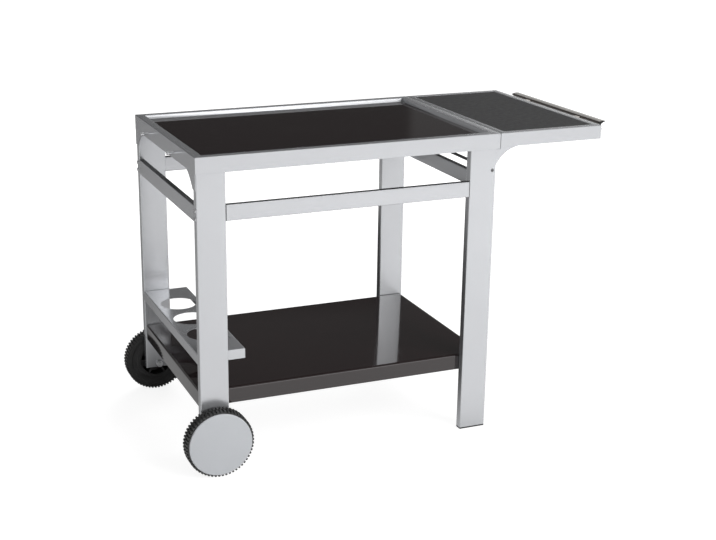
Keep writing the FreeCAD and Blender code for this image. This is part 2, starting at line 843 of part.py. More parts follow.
def arm():
    """Plate that turns on the rod inside the leg and carries the side shelf."""
    left = PIVOT_X - ARM_LOBE_RADIUS
    right = PIVOT_X + ARM_LOBE_RADIUS
    neck_top = TOP_HEIGHT - FASCIA_HEIGHT - ARM_TOP_CLEARANCE
    inside = SIDE_START + SHEET + BODY_CLEARANCE
    tangent = SIDE_START + ARM_REACH
    end = tangent + ARM_TAB
    tab_top = SIDE_BOTTOM + ARM_TAB_HEIGHT
    centre_z = SIDE_BOTTOM - ARM_RADIUS

    def on_arc(x):
        rise = math.sqrt(ARM_RADIUS ** 2 - (tangent - x) ** 2)
        return point(x, ARM_FRONT, centre_z + rise)

    def at(x, z):
        return point(x, ARM_FRONT, z)

    low = on_arc(right)
    lobe_bottom = at(PIVOT_X, PIVOT_Z - ARM_LOBE_RADIUS)
    edges = [
        Part.Arc(low, on_arc((right + tangent) / 2), at(tangent, SIDE_BOTTOM)).toShape(),
        Part.makeLine(at(tangent, SIDE_BOTTOM), at(end, SIDE_BOTTOM)),
        Part.makeLine(at(end, SIDE_BOTTOM), at(end, tab_top)),
        Part.makeLine(at(end, tab_top), at(inside, tab_top)),
        Part.makeLine(at(inside, tab_top), at(inside, neck_top)),
        Part.makeLine(at(inside, neck_top), at(left, neck_top)),
        Part.makeLine(at(left, neck_top), at(left, PIVOT_Z)),
        Part.Arc(at(left, PIVOT_Z), lobe_bottom, at(right, PIVOT_Z)).toShape(),
        Part.makeLine(at(right, PIVOT_Z), low),
    ]
    plate = Part.Face(Part.Wire(edges)).extrude(AXIS_Y * ARM_THICKNESS)
    pad = box(inside, end, SHEET, ARM_FRONT, SIDE_BOTTOM, tab_top)
    bore = rod(
        PIVOT_ROD_RADIUS + RUNNING_CLEARANCE,
        point(PIVOT_X, ARM_FRONT - OVERCUT, PIVOT_Z),
        point(PIVOT_X, ARM_BACK + OVERCUT, PIVOT_Z),
    )
    return plate.fuse(pad).removeSplitter().cut(bore)


def pivot_rod():
    front = point(PIVOT_X, LEG_FRONT, PIVOT_Z)
    back = point(PIVOT_X, FRAME_DEPTH - LEG_FRONT, PIVOT_Z)
    return rod(PIVOT_ROD_RADIUS, front, back)


def rod_cap():
    face = LEG_FRONT - ROD_CAP_HEIGHT
    outline = [(0, face), (ROD_CAP_FACE, face), (ROD_CAP_RADIUS, LEG_FRONT), (0, LEG_FRONT)]
    return turned(outline, PIVOT_X, PIVOT_Z)


def rod_clip():
    back = LEG_BACK + ROD_CLIP_THICKNESS
    outline = [
        (PIVOT_ROD_RADIUS, LEG_BACK),
        (ROD_CLIP_RADIUS, LEG_BACK),
        (ROD_CLIP_RADIUS, back),
        (PIVOT_ROD_RADIUS, back),
    ]
    return turned(outline, PIVOT_X, PIVOT_Z)


# Handle

def handle_outline():
    """Grip in cross section: crowned top, concave web and a toe turned outwards.

    Each entry is a corner, across and up from the top inner corner, and the bulge of the
    side that follows it.
    """
    web = HANDLE_WEB_START + HANDLE_WEB
    return [
        ((0, -HANDLE_INNER_DROP), HANDLE_CROWN),
        ((HANDLE_WIDTH, -HANDLE_OUTER_DROP), 0),
        ((HANDLE_WIDTH, -HANDLE_OUTER_DROP - HANDLE_EDGE), -HANDLE_HOLLOW),
        ((web, -HANDLE_NECK), 0),
        ((web, -HANDLE_ANKLE), -HANDLE_HOLLOW),
        ((web + HANDLE_TOE, -HANDLE_DROP), 0),
        ((web + HANDLE_TOE - HANDLE_EDGE, -HANDLE_DROP), HANDLE_HOLLOW),
        ((HANDLE_WEB_START, -HANDLE_ANKLE), 0),
        ((HANDLE_WEB_START, -HANDLE_NECK), -HANDLE_HOLLOW),
        ((0, -HANDLE_INNER_DROP - HANDLE_EDGE), 0),
    ]


def handle_bar():
    """Extruded grip that runs along the outer end of the side shelf."""
    y = MIDDLE_Y - HANDLE_LENGTH / 2
    inner = HANDLE_END - HANDLE_WIDTH
    outline = handle_outline()
    corners = [point(inner + across, y, TOP_HEIGHT + up) for (across, up), bulge in outline]
    edges = []
    for index, (corner, bulge) in enumerate(outline):
        edges.append(bulged(corners[index], corners[(index + 1) % len(corners)], bulge, AXIS_Y))
    return Part.Face(Part.Wire(edges)).extrude(AXIS_Y * HANDLE_LENGTH)


def bracket_places():
    return [MIDDLE_Y - BRACKET_SPACING / 2, MIDDLE_Y + BRACKET_SPACING / 2]


def handle_bracket(y):
    """Block between the end fascia and the web of the grip."""
    top = TOP_HEIGHT - BRACKET_DROP
    half = BRACKET_WIDTH / 2
    reach = HANDLE_END - HANDLE_WIDTH + HANDLE_WEB_START + HANDLE_WEB / 2
    block = rounded_bar(
        SIDE_END, reach, y - half, y + half, top - BRACKET_HEIGHT, top, AXIS_X, BRACKET_CORNER
    )
    return block.cut([handle_bar(), bracket_screw_hole(y)])


def bracket_screw_height():
    return TOP_HEIGHT - BRACKET_DROP - BRACKET_HEIGHT / 2


def bracket_screw_hole(y):
    z = bracket_screw_height()
    end = point(SIDE_END + BRACKET_SCREW_GRIP, y, z)
    return square_bar(SCREW_SHANK + 2 * HOLE_CLEARANCE, point(SIDE_END - OVERCUT, y, z), end)


def handle_brackets():
    return Part.makeCompound([handle_bracket(y) for y in bracket_places()])


def handle_screw(y):
    z = bracket_screw_height()
    seat = SIDE_END - SHEET
    crown = point(seat - SCREW_HEAD_HEIGHT, y, z)
    tip = point(SIDE_END + BRACKET_SCREW_GRIP, y, z)
    return coach_screw(crown, point(seat, y, z), tip)


def side_right_member():
    member = end_member(side_section(), SIDE_START, SIDE_END, "right")
    return member.cut([bracket_screw_hole(y) for y in bracket_places()])


def handle_screws():
    return Part.makeCompound([handle_screw(y) for y in bracket_places()])


# The whole table

def frame_parts():
    front = front_member(worktop_section(), 0, FRAME_LENGTH)
    return {
        "frame_front": front,
        "frame_back": to_back(front),
        "frame_left": frame_left(),
        "frame_right": end_member(worktop_section(), 0, FRAME_LENGTH, "right"),
        "worktop": worktop(),
        "utensil_pegs": utensil_pegs(),
    }


def leg_parts():
    left = left_leg()
    right = right_leg()
    pad = foot()
    return {
        "leg_front_left": left,
        "leg_back_left": to_back(left),
        "leg_front_right": right,
        "leg_back_right": to_back(right),
        "foot_front": pad,
        "foot_back": to_back(pad),
    }


def rail_parts():
    front = long_rail()
    return {
        "rail_front": front,
        "rail_back": to_back(front),
        "rail_left": short_rail(LEFT_LEG_X),
        "rail_right": short_rail(RIGHT_LEG_END - RAIL_DEPTH),
        "rail_end_plugs": rail_end_plugs(),
        "rail_bolts_left": rail_bolts(LEFT_LEG_X, 1, LEG_WIDTH),
        "rail_bolts_right": rail_bolts(RIGHT_LEG_X + LEG_WALL, -1, LEG_WALL),
    }


def storage_parts():
    return {
        "lower_shelf": lower_shelf(),
        "shelf_screws": shelf_screws(),
        "bottle_rack": bottle_rack(),
        "rack_screws": rack_screws(),
    }


def wheel_parts():
    tread = tyre()
    moulding = hub()
    cover = wheel_cap()
    stub = axle()
    return {
        "front_tyre": tread,
        "front_hub": moulding,
        "front_wheel_cap": cover,
        "back_tyre": to_back(tread),
        "back_hub": to_back(moulding),
        "back_wheel_cap": to_back(cover),
        "front_axle": stub,
        "back_axle": to_back(stub),
        "axle_nuts": pair(axle_nut()),
        "wheel_spacers": pair(wheel_spacer()),
        "axle_retainers": pair(axle_retainer()),
    }


def side_shelf_parts():
    front = front_member(side_section(), SIDE_START, SIDE_END)
    plate = arm()
    return {
        "side_rim_front": front,
        "side_rim_back": to_back(front),
        "side_rim_left": end_member(side_section(), SIDE_START, SIDE_END, "left"),
        "side_rim_right": side_right_member(),
        "side_panel": side_panel(),
        "side_arm_front": plate,
        "side_arm_back": to_back(plate),
        "handle_bar": handle_bar(),
        "handle_brackets": handle_brackets(),
        "handle_screws": handle_screws(),
        "pivot_rod": pivot_rod(),
        "pivot_rod_caps": pair(rod_cap()),
        "pivot_rod_clips": pair(rod_clip()),
    }


def save(name, shape):
    placed = shape.copy()
    placed.translate(point(SHIFT_X, SHIFT_Y, 0))
    placed.exportStep("parts/" + name + ".step")
    print(name, len(placed.Solids), round(placed.Volume), placed.isValid())


def main():
    os.makedirs("parts", exist_ok=True)
    groups = (frame_parts, leg_parts, rail_parts, storage_parts, wheel_parts, side_shelf_parts)
    for group in groups:
        for name, shape in group().items():
            save(name, shape)


main()
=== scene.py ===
import json
import math

import bmesh
import bpy
from mathutils import Matrix, Vector


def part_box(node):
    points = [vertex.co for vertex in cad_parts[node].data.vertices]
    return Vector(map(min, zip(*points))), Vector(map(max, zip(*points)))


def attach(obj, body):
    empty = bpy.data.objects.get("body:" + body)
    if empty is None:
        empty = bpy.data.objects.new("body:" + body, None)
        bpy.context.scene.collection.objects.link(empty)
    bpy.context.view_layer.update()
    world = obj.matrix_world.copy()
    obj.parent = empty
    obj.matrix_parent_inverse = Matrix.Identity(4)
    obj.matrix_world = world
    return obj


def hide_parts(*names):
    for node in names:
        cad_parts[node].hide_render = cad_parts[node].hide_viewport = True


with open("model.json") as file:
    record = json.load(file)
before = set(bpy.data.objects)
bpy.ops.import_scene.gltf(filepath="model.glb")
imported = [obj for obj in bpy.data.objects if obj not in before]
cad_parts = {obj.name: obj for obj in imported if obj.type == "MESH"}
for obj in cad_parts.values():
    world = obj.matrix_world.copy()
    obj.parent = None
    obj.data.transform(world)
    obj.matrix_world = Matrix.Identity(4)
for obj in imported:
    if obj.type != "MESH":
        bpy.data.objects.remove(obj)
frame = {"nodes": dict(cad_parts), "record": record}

bl_info = {
    "name": "Outdoor oven table",
    "version": (1, 0, 0),
    "blender": (4, 5, 0),
    "location": "3D View > Sidebar > Oven table",
    "description": "Builds the finished look of a wheeled outdoor oven table on its frame",
    "category": "Object",
}


# Sizes and colours that a user may change

class OvenTableSizes(bpy.types.PropertyGroup):
    """Sizes of the details that the finished pieces add to the frame."""

    sheet_edge: bpy.props.FloatProperty(
        name="Sheet edge",
        description="Width of the rounded edge on folded sheet metal",
        default=0.0006,
        unit="LENGTH",
    )
    tube_edge: bpy.props.FloatProperty(
        name="Tube edge",
        description="Width of the rounded edge on cut tube ends and plastic parts",
        default=0.0008,
        unit="LENGTH",
    )
    tread_teeth: bpy.props.IntProperty(
        name="Tread teeth",
        description="Teeth in one row around a tyre",
        default=58,
    )
    tread_rows: bpy.props.IntProperty(
        name="Tread rows",
        description="Rows of teeth side by side on a tyre",
        default=2,
    )
    tooth_height: bpy.props.FloatProperty(
        name="Tooth height",
        description="Height of a tread tooth above the band",
        default=0.0034,
        unit="LENGTH",
    )
    hub_spokes: bpy.props.IntProperty(
        name="Hub spokes",
        description="Ribs between the boss and the rim of a hub",
        default=6,
    )
    bolt_dome: bpy.props.FloatProperty(
        name="Bolt dome",
        description="Height of the round bolt heads on the left legs",
        default=0.003,
        unit="LENGTH",
    )


class OvenTableColours(bpy.types.PropertyGroup):
    """Base colours of the finishes."""

    silver: bpy.props.FloatVectorProperty(
        name="Silver",
        description="Silver paint of frame, legs, rims and rack",
        default=(0.60, 0.61, 0.63),
        subtype="COLOR",
    )
    gloss_black: bpy.props.FloatVectorProperty(
        name="Gloss black",
        description="Enamel of the worktop and the lower shelf",
        default=(0.017, 0.0095, 0.0095),
        subtype="COLOR",
    )
    panel_grey: bpy.props.FloatVectorProperty(
        name="Panel grey",
        description="Coating of the side shelf panel",
        default=(0.050, 0.050, 0.051),
        subtype="COLOR",
    )
    cap_grey: bpy.props.FloatVectorProperty(
        name="Cap grey",
        description="Plastic of the wheel caps",
        default=(0.66, 0.68, 0.71),
        subtype="COLOR",
    )
    rubber: bpy.props.FloatVectorProperty(
        name="Tyre black",
        description="Plastic of the tyres",
        default=(0.030, 0.030, 0.030),
        subtype="COLOR",
    )
    floor: bpy.props.FloatVectorProperty(
        name="Floor",
        description="Colour of the studio floor",
        default=(0.36, 0.36, 0.36),
        subtype="COLOR",
    )


def sizes():
    return bpy.context.scene.oven_table_sizes


def colours():
    return bpy.context.scene.oven_table_colours


# Places read from the frame

def span(node, axis):
    low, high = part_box(node)
    return low[axis], high[axis]


def extent(node, axis):
    low, high = span(node, axis)
    return high - low


def inset(node, axis, margin):
    """Both ends of a node along an axis, moved inwards by a margin."""
    low, high = span(node, axis)
    return low + margin, high - margin


def middle(node):
    low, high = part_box(node)
    return Vector([(a + b) / 2 for a, b in zip(low, high)])


# Nodes

class Wiring:
    """Short names for adding and linking the nodes of a tree."""

    def __init__(self, tree):
        self.nodes = tree.nodes
        self.links = tree.links

    def feed(self, socket, value):
        """Links an input to a socket, or sets it to a constant."""
        if isinstance(value, bpy.types.NodeSocket):
            self.links.new(value, socket)
        else:
            socket.default_value = value

    def add(self, kind, inputs=None, **settings):
        """A new node with its settings made and its inputs fed by label or number."""
        node = self.nodes.new(kind)
        for label, value in settings.items():
            setattr(node, label, value)
        for label, value in (inputs or {}).items():
            self.feed(node.inputs[label], value)
        return node

    def math(self, operation, *values):
        inputs = dict(enumerate(values))
        return self.add("ShaderNodeMath", inputs, operation=operation).outputs[0]

    def vector_math(self, operation, *values):
        """The outputs of an operation: Vector, and Value for a length or a dot product."""
        inputs = dict(enumerate(values))
        return self.add("ShaderNodeVectorMath", inputs, operation=operation).outputs

    def product(self, first, *others):
        for other in others:
            first = self.math("MULTIPLY", first, other)
        return first

    def parts(self, vector):
        """The outputs X, Y and Z of a vector."""
        return self.add("ShaderNodeSeparateXYZ", {0: vector}).outputs

    def mapped(self, value, start, stop, low, high, **settings):
        """A value brought from start..stop to low..high."""
        inputs = {
            "Value": value, "From Min": start, "From Max": stop, "To Min": low, "To Max": high,
        }
        return self.add("ShaderNodeMapRange", inputs, **settings).outputs["Result"]

    def eased(self, value, start, stop, low=0.0, high=1.0):
        """A value brought smoothly from start..stop to low..high."""
        return self.mapped(value, start, stop, low, high, interpolation_type="SMOOTHSTEP")

    def mixed(self, factor, first, second):
        """A number between first and second, each a number or a socket."""
        inputs = {"Factor": factor, "A": first, "B": second}
        return self.add("ShaderNodeMix", inputs, data_type="FLOAT").outputs["Result"]


# Materials

class Finish(Wiring):
    """The nodes of one material."""

    def __init__(self, name):
        self.material = bpy.data.materials.new(name)
        self.material.use_nodes = True
        super().__init__(self.material.node_tree)
        self.shader = self.nodes["Principled BSDF"]
        coordinates = self.add("ShaderNodeTexCoord").outputs
        self.place = coordinates["Object"]
        self.facing = coordinates["Normal"]

    def set(self, **values):
        for label, value in values.items():
            self.shader.inputs[label.replace("_", " ")].default_value = value

    def noise(self, scale, detail=2.0, roughness=0.5, stretch=None):
        """Noise on Object coordinates, which a stretch scales for brushed or drawn marks."""
        place = self.place
        if stretch:
            mapping = self.add("ShaderNodeMapping", {"Vector": place, "Scale": stretch})
            place = mapping.outputs["Vector"]
        inputs = {"Vector": place, "Scale": scale, "Detail": detail, "Roughness": roughness}
        return self.add("ShaderNodeTexNoise", inputs).outputs["Fac"]

    def cells(self, scale):
        inputs = {"Vector": self.place, "Scale": scale}
        return self.add("ShaderNodeTexVoronoi", inputs).outputs["Distance"]

    def ranged(self, factor, low=0.0, high=1.0, start=0.3, stop=0.7):
        """A pattern brought from start..stop to low..high."""
        return self.mapped(factor, start, stop, low, high)

    def blend(self, factor, first, second):
        """A colour between first and second, either of them a colour or a socket."""
        mix = self.add("ShaderNodeMix", {"Factor": factor}, data_type="RGBA")
        ends = [socket for socket in mix.inputs if socket.type == "RGBA"]
        for socket, value in zip(ends, (first, second)):
            is_socket = isinstance(value, bpy.types.NodeSocket)
            self.feed(socket, value if is_socket else (*value, 1.0))
        return [socket for socket in mix.outputs if socket.type == "RGBA"][0]

    def beyond(self, ends, depth=0.0008):
        """One at both ends of a stretch along Y, nought between them."""
        low, high = ends
        away = self.math("SUBTRACT", self.parts(self.place)["Y"], (low + high) / 2)
        return self.math("GREATER_THAN", self.math("ABSOLUTE", away), (high - low) / 2 - depth)

    def across(self, start, stop):
        """Nought to one between two places along X."""
        return self.eased(self.parts(self.place)["X"], start, stop)

    def on_top(self, height, slack=0.0002, upright=0.95):
        """One on upward faces at a height, nought elsewhere."""
        level = self.math("COMPARE", self.parts(self.place)["Z"], height, slack)
        upward = self.math("GREATER_THAN", self.parts(self.facing)["Z"], upright)
        return self.product(level, upward)

    def colour(self, factor, first, second):
        self.feed(self.shader.inputs["Base Color"], self.blend(factor, first, second))

    def rough(self, factor, low, high):
        self.feed(self.shader.inputs["Roughness"], self.ranged(factor, low, high))

    def bump(self, height, distance, strength):
        """A bump on top of those before it."""
        inputs = {"Height": height, "Distance": distance, "Strength": strength}
        node = self.add("ShaderNodeBump", inputs)
        normal = self.shader.inputs["Normal"]
        if normal.is_linked:
            self.feed(node.inputs["Normal"], normal.links[0].from_socket)
        self.feed(normal, node.outputs["Normal"])


# A near black; on the tops of the rails it is painted shade
DEEP_BLACK = (0.012, 0.012, 0.012)


def tinted(colour, share):
    return tuple(min(1.0, part * share) for part in colour)


def silver_paint(finish):
    """Metallic powder coat: fine flakes, a slight orange peel and a satin sheen.

    The tops of the rails below the worktop are painted near black: painted shade from the
    worktop above them.
    """
    base = tuple(colours().silver)
    flakes = finish.noise(1100.0, 1.0)
    clouds = finish.noise(7.0, 3.0)
    light = finish.blend(finish.ranged(flakes), tinted(base, 0.98), tinted(base, 1.02))
    coat = finish.blend(finish.ranged(clouds, 0.0, 0.35), light, tinted(base, 0.92))
    # Painted shade: upward faces at the height of the rails' tops get the near black colour
    finish.colour(finish.on_top(span("rail_front", 2)[1]), coat, DEEP_BLACK)
    finish.rough(finish.noise(60.0, 3.0), 0.21, 0.25)
    finish.bump(finish.noise(520.0, 2.0), 0.000004, 0.5)
    finish.bump(flakes, 0.000001, 0.1)
    finish.set(Metallic=0.68, IOR=1.5)


def gloss_black(finish):
    """Black enamel with a mirror gloss, faint waves and a little dust."""
    base = tuple(colours().gloss_black)
    dust = finish.noise(900.0, 2.0, 0.7)
    finish.colour(finish.ranged(dust, 0.0, 0.5, 0.62, 0.8), base, tinted(base, 2.2))
    finish.rough(finish.noise(22.0, 4.0, 0.6), 0.05, 0.11)
    finish.bump(finish.noise(30.0, 1.0), 0.00003, 0.5)
    finish.set(IOR=1.5, Coat_Weight=0.6, Coat_Roughness=0.04)


def panel_coating(finish):
    """Matte dark grey fine texture coating."""
    base = tuple(colours().panel_grey)
    grain = finish.cells(1300.0)
    spots = finish.ranged(grain, start=0.1, stop=0.7)
    finish.colour(spots, tinted(base, 1.2), tinted(base, 0.85))
    finish.rough(finish.noise(80.0, 3.0), 0.52, 0.62)
    finish.bump(grain, 0.00008, 0.7)
    finish.set(IOR=1.45)


def cap_plastic(finish):
    """Light grey moulded plastic with a fine grain."""
    base = tuple(colours().cap_grey)
    grain = finish.noise(1500.0, 2.0, 0.7)
    clouds = finish.noise(18.0, 2.0)
    speck = finish.blend(finish.ranged(grain), tinted(base, 0.96), tinted(base, 1.04))
    finish.colour(finish.ranged(clouds, 0.0, 0.3), speck, tinted(base, 0.94))
    finish.rough(finish.noise(90.0, 3.0), 0.38, 0.46)
    finish.bump(grain, 0.00003, 0.6)
    finish.set(IOR=1.5)


def black_plastic(finish):
    """Black moulded plastic with a light grain."""
    grain = finish.noise(1200.0, 2.0, 0.7)
    finish.colour(finish.ranged(grain), (0.024, 0.024, 0.024), (0.034, 0.034, 0.034))
    finish.rough(finish.noise(70.0, 3.0), 0.42, 0.55)
    finish.bump(grain, 0.00005, 0.7)
    finish.set(IOR=1.5)


def tyre_plastic(finish):
    """Hard black tyre with dust in its pores and a dull bloom."""
    base = tuple(colours().rubber)
    pores = finish.noise(1100.0, 3.0, 0.7)
    bloom = finish.noise(45.0, 4.0, 0.6)
    spotted = finish.blend(finish.ranged(pores), tinted(base, 0.8), tinted(base, 1.5))
    finish.colour(finish.ranged(bloom, 0.0, 0.5), spotted, tinted(base, 2.0))
    finish.rough(bloom, 0.34, 0.50)
    finish.bump(pores, 0.00008, 0.7)
    finish.set(IOR=1.5)


def chrome_plate(finish):
    """Polished plate with faint turning marks."""
    marks = finish.noise(240.0, 3.0, 0.6, (8.0, 1.0, 1.0))
    finish.colour(finish.ranged(marks), (0.82, 0.83, 0.85), (0.90, 0.91, 0.92))
    finish.rough(marks, 0.08, 0.16)
    finish.bump(marks, 0.00001, 0.4)
    finish.set(Metallic=1.0)


def zinc_plate(finish):
    """Zinc plated steel with a soft spangle."""
    spangle = finish.ranged(finish.cells(420.0), start=0.1, stop=0.8)
    finish.colour(spangle, (0.78, 0.78, 0.78), (0.66, 0.67, 0.69))
    finish.rough(finish.noise(300.0, 3.0), 0.24, 0.38)
    finish.bump(finish.noise(700.0, 2.0), 0.00001, 0.3)
    finish.set(Metallic=0.6)


def dark_steel(finish):
    """Blackened steel of the rod and its caps."""
    drawn = finish.noise(150.0, 3.0, 0.6, (6.0, 0.3, 6.0))
    finish.colour(finish.ranged(drawn), (0.10, 0.10, 0.105), (0.14, 0.14, 0.145))
    finish.rough(drawn, 0.34, 0.48)
    finish.bump(drawn, 0.00002, 0.5)
    finish.set(Metallic=0.2)


def handle_aluminium(finish):
    """Extruded aluminium with fine draw lines and black ends; the dark brown along the grip's
    inner edge is painted shade.
    """
    drawn = finish.noise(900.0, 3.0, 0.6, (1.0, 0.02, 1.0))
    bare = finish.blend(finish.ranged(drawn), (0.70, 0.68, 0.65), (0.80, 0.78, 0.75))
    edge = span("handle_bar", 0)[0]
    # Painted shade: dark brown across the grip's inner side, where the gap beside the rim lies
    # in shadow
    shaded_inner_edge = finish.blend(finish.across(edge + 0.003, edge + 0.006), (0.085, 0.069, 0.06), bare)
    whole = finish.blend(finish.across(edge - 0.001, edge), (0.74, 0.70, 0.65), shaded_inner_edge)
    finish.colour(finish.beyond(span("handle_bar", 1)), whole, DEEP_BLACK)
    finish.rough(drawn, 0.16, 0.22)
    finish.bump(drawn, 0.000005, 0.5)
    finish.set(Metallic=0.45)


FINISHES = {
    "silver_paint": silver_paint,
    "gloss_black": gloss_black,
    "grey_panel": panel_coating,
    "cap_grey": cap_plastic,
    "black_plastic": black_plastic,
    "tyre_rubber": tyre_plastic,
    "chrome_plate": chrome_plate,
    "zinc_steel": zinc_plate,
    "dark_steel": dark_steel,
    "handle_aluminium": handle_aluminium,
}
made = {}


def finish_of(slot):
    """The material of a slot, made once."""
    if slot not in made:
        recipe = FINISHES[slot]
        finish = Finish(recipe.__name__)
        recipe(finish)
        made[slot] = finish.material
    return made[slot]


# Pieces
#
# Corners nearer than the join distance are one, and faces within the flat angle are one plane.

JOIN_DISTANCE = 2e-6
FLAT_ANGLE = math.radians(0.4)
EDGE_ANGLE = math.radians(30)
EDGE_SEGMENTS = 2
TURNED_SHARP_ANGLE = math.radians(40)
ROUNDING_STEPS = 4


def body_of_node(node):
    """The body that a piece of the frame moves with."""
    for body, members in frame["record"]["behaviour"]["bodies"].items():
        if node in members:
            return body
    raise ValueError(node + " belongs to no body")


def placed_object(name, data):
    piece = bpy.data.objects.new(name, data)
    bpy.context.scene.collection.objects.link(piece)
    return piece


def painted(piece, slot):
    piece.data.materials.clear()
    piece.data.materials.append(finish_of(slot))


def settle(piece, slot, node):
    """Gives a finished piece its material, its body and the node it stands for."""
    painted(piece, slot)
    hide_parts(node)
    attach(piece, body_of_node(node))


def add_piece(name, mesh, slot, node):
    """A finished mesh as a piece in place of a node."""
    settle(placed_object(name, mesh), slot, node)


def soften(piece, width):
    """Rounded edges with smooth shading across them."""
    piece.data.shade_smooth()
    piece.data.set_sharp_from_angle(angle=EDGE_ANGLE)
    bevel = piece.modifiers.new("edge", "BEVEL")
    bevel.width = width
    bevel.segments = EDGE_SEGMENTS
    bevel.limit_method = "ANGLE"
    bevel.angle_limit = EDGE_ANGLE
    bevel.harden_normals = True


def joined_copy(node, name):
    """A copy of a piece of the frame with its loose triangles joined into faces."""
    mesh = frame["nodes"][node].data.copy()
    mesh.name = name
    shell = bmesh.new()
    shell.from_mesh(mesh)
    bmesh.ops.remove_doubles(shell, verts=shell.verts, dist=JOIN_DISTANCE)
    bmesh.ops.dissolve_limit(
        shell, angle_limit=FLAT_ANGLE, verts=shell.verts, edges=shell.edges
    )
    shell.to_mesh(mesh)
    shell.free()
    return placed_object(name, mesh)


def finish_nodes(slot, width, *nodes):
    """Copies of pieces of the frame with rounded edges, in their own finish."""
    for node in nodes:
        piece = joined_copy(node, node + "_finished")
        soften(piece, width)
        settle(piece, slot, node)


def poured(shell, name):
    """The shell as a mesh of its own."""
    mesh = bpy.data.meshes.new(name)
    shell.to_mesh(mesh)
    shell.free()
    return mesh


def revolved_mesh(name, profile, steps, axis, centre=(0, 0, 0)):
    """A closed shell turned about a line.

    Each point of the profile holds its place along the line and its radius, and the number
    of sides where the section isn't round.
    """
    shell = bmesh.new()
    rings = []
    for along, radius, *sides in profile:
        ring = []
        for step in range(steps if radius else 1):
            angle = 2 * math.pi * step / steps
            reach = radius
            if sides:
                side = 2 * math.pi / sides[0]
                reach = radius * math.cos(side / 2) / math.cos(angle % side - side / 2)
            u = reach * math.cos(angle)
            v = reach * math.sin(angle)
            flat = (along, u, v) if axis == "X" else (u, along, v)
            ring.append(shell.verts.new(Vector(flat) + Vector(centre)))
        rings.append(ring)
    following = rings[1:]
    if len(rings[0]) > 1:
        following.append(rings[0])
    for first, second in zip(rings, following):
        for step in range(steps):
            after = (step + 1) % steps
            if len(first) == 1:
                corners = [first[0], second[after], second[step]]
            elif len(second) == 1:
                corners = [first[step], first[after], second[0]]
            else:
                corners = [first[step], first[after], second[after], second[step]]
            shell.faces.new(corners)
    bmesh.ops.recalc_face_normals(shell, faces=shell.faces)
    mesh = poured(shell, name)
    mesh.shade_smooth()
    mesh.set_sharp_from_angle(angle=TURNED_SHARP_ANGLE)
    return mesh


def stacked_mesh(name, rings):
    """A closed flat-faced block through rings of corners, from one end to the other."""
    shell = bmesh.new()
    rings = [[shell.verts.new(corner) for corner in ring] for ring in rings]
    for first, second in zip(rings, rings[1:]):
        for corner in range(len(first)):
            after = (corner + 1) % len(first)
            shell.faces.new([first[corner], first[after], second[after], second[corner]])
    shell.faces.new(rings[-1])
    shell.faces.new(rings[0])
    bmesh.ops.recalc_face_normals(shell, faces=shell.faces)
    return poured(shell, name)


def rounded_profile(corners):
    """A turned outline; each corner holds its place, its radius and how far it is rounded."""
    outline = []
    for index, (along, reach, rounding) in enumerate(corners):
        if not rounding:
            outline.append((along, reach))
            continue
        corner = Vector((along, reach))
        before = Vector(corners[index - 1][:2])
        after = Vector(corners[(index + 1) % len(corners)][:2])
        first = corner + (before - corner).normalized() * rounding
        last = corner + (after - corner).normalized() * rounding
        for step in range(ROUNDING_STEPS + 1):
            share = step / ROUNDING_STEPS
            point = first.lerp(corner, share).lerp(corner.lerp(last, share), share)
            outline.append(tuple(point))
    return outline


def merged(name, *meshes):
    """One mesh from several, with their shading kept."""
    shell = bmesh.new()
    for mesh in meshes:
        shell.from_mesh(mesh)
    return poured(shell, name)


# Geometry Nodes

class CopiesTree(Wiring):
    """A tree that puts copies of one piece at points, with a material on all of them."""

    def __init__(self, name, **inputs):
        self.tree = bpy.data.node_groups.new(name, "GeometryNodeTree")
        super().__init__(self.tree)
        inputs = {"Geometry": "Geometry", "Piece": "Object", "Material": "Material", **inputs}
        for label, kind in inputs.items():
            self.tree.interface.new_socket(
                label.replace("_", " "), in_out="INPUT", socket_type="NodeSocket" + kind
            )
        self.tree.interface.new_socket(
            "Geometry", in_out="OUTPUT", socket_type="NodeSocketGeometry"
        )
        self.given = self.add("NodeGroupInput").outputs

    def finish(self, points, rotation):
        """The end of the tree: copies at the points, realised, with their material."""
        piece = self.add("GeometryNodeObjectInfo", {"Object": self.given["Piece"]})
        copies = self.add(
            "GeometryNodeInstanceOnPoints",
            {"Points": points, "Instance": piece.outputs["Geometry"], "Rotation": rotation},
        )
        real = self.add("GeometryNodeRealizeInstances", {0: copies.outputs[0]})
        paint = self.add(
            "GeometryNodeSetMaterial",
            {"Geometry": real.outputs[0], "Material": self.given["Material"]},
        )
        self.add("NodeGroupOutput", {0: paint.outputs[0]})
        return self.tree


def ring_tree():
    """Copies around a line along Y, in rows side by side."""
    build = CopiesTree(
        "copies_around_axle",
        Count="Int", Rows="Int", Radius="Float", Row_pitch="Float", Stagger="Float",
        Centre="Vector",
    )
    given = build.given
    count, rows, radius = given["Count"], given["Rows"], given["Radius"]
    index = build.add("GeometryNodeInputIndex").outputs[0]
    row = build.math("FLOOR", build.math("DIVIDE", index, count))
    step = build.math("MODULO", index, count)
    shift = build.product(build.math("MODULO", row, 2.0), given["Stagger"])
    turn = build.math("DIVIDE", build.math("ADD", step, shift), count)
    angle = build.product(turn, 2 * math.pi)
    half = build.math("DIVIDE", build.math("SUBTRACT", rows, 1.0), 2.0)
    around = build.add("ShaderNodeCombineXYZ", {
        "X": build.product(build.math("COSINE", angle), radius),
        "Y": build.product(build.math("SUBTRACT", row, half), given["Row pitch"]),
        "Z": build.product(build.math("SINE", angle), radius),
    })
    place = build.vector_math("ADD", around.outputs[0], given["Centre"])["Vector"]
    total = build.product(count, rows)
    points = build.add("GeometryNodePoints", {"Count": total, "Position": place})
    rotation = build.add("ShaderNodeCombineXYZ", {"Y": build.product(angle, -1.0)})
    return build.finish(points.outputs[0], rotation.outputs[0])


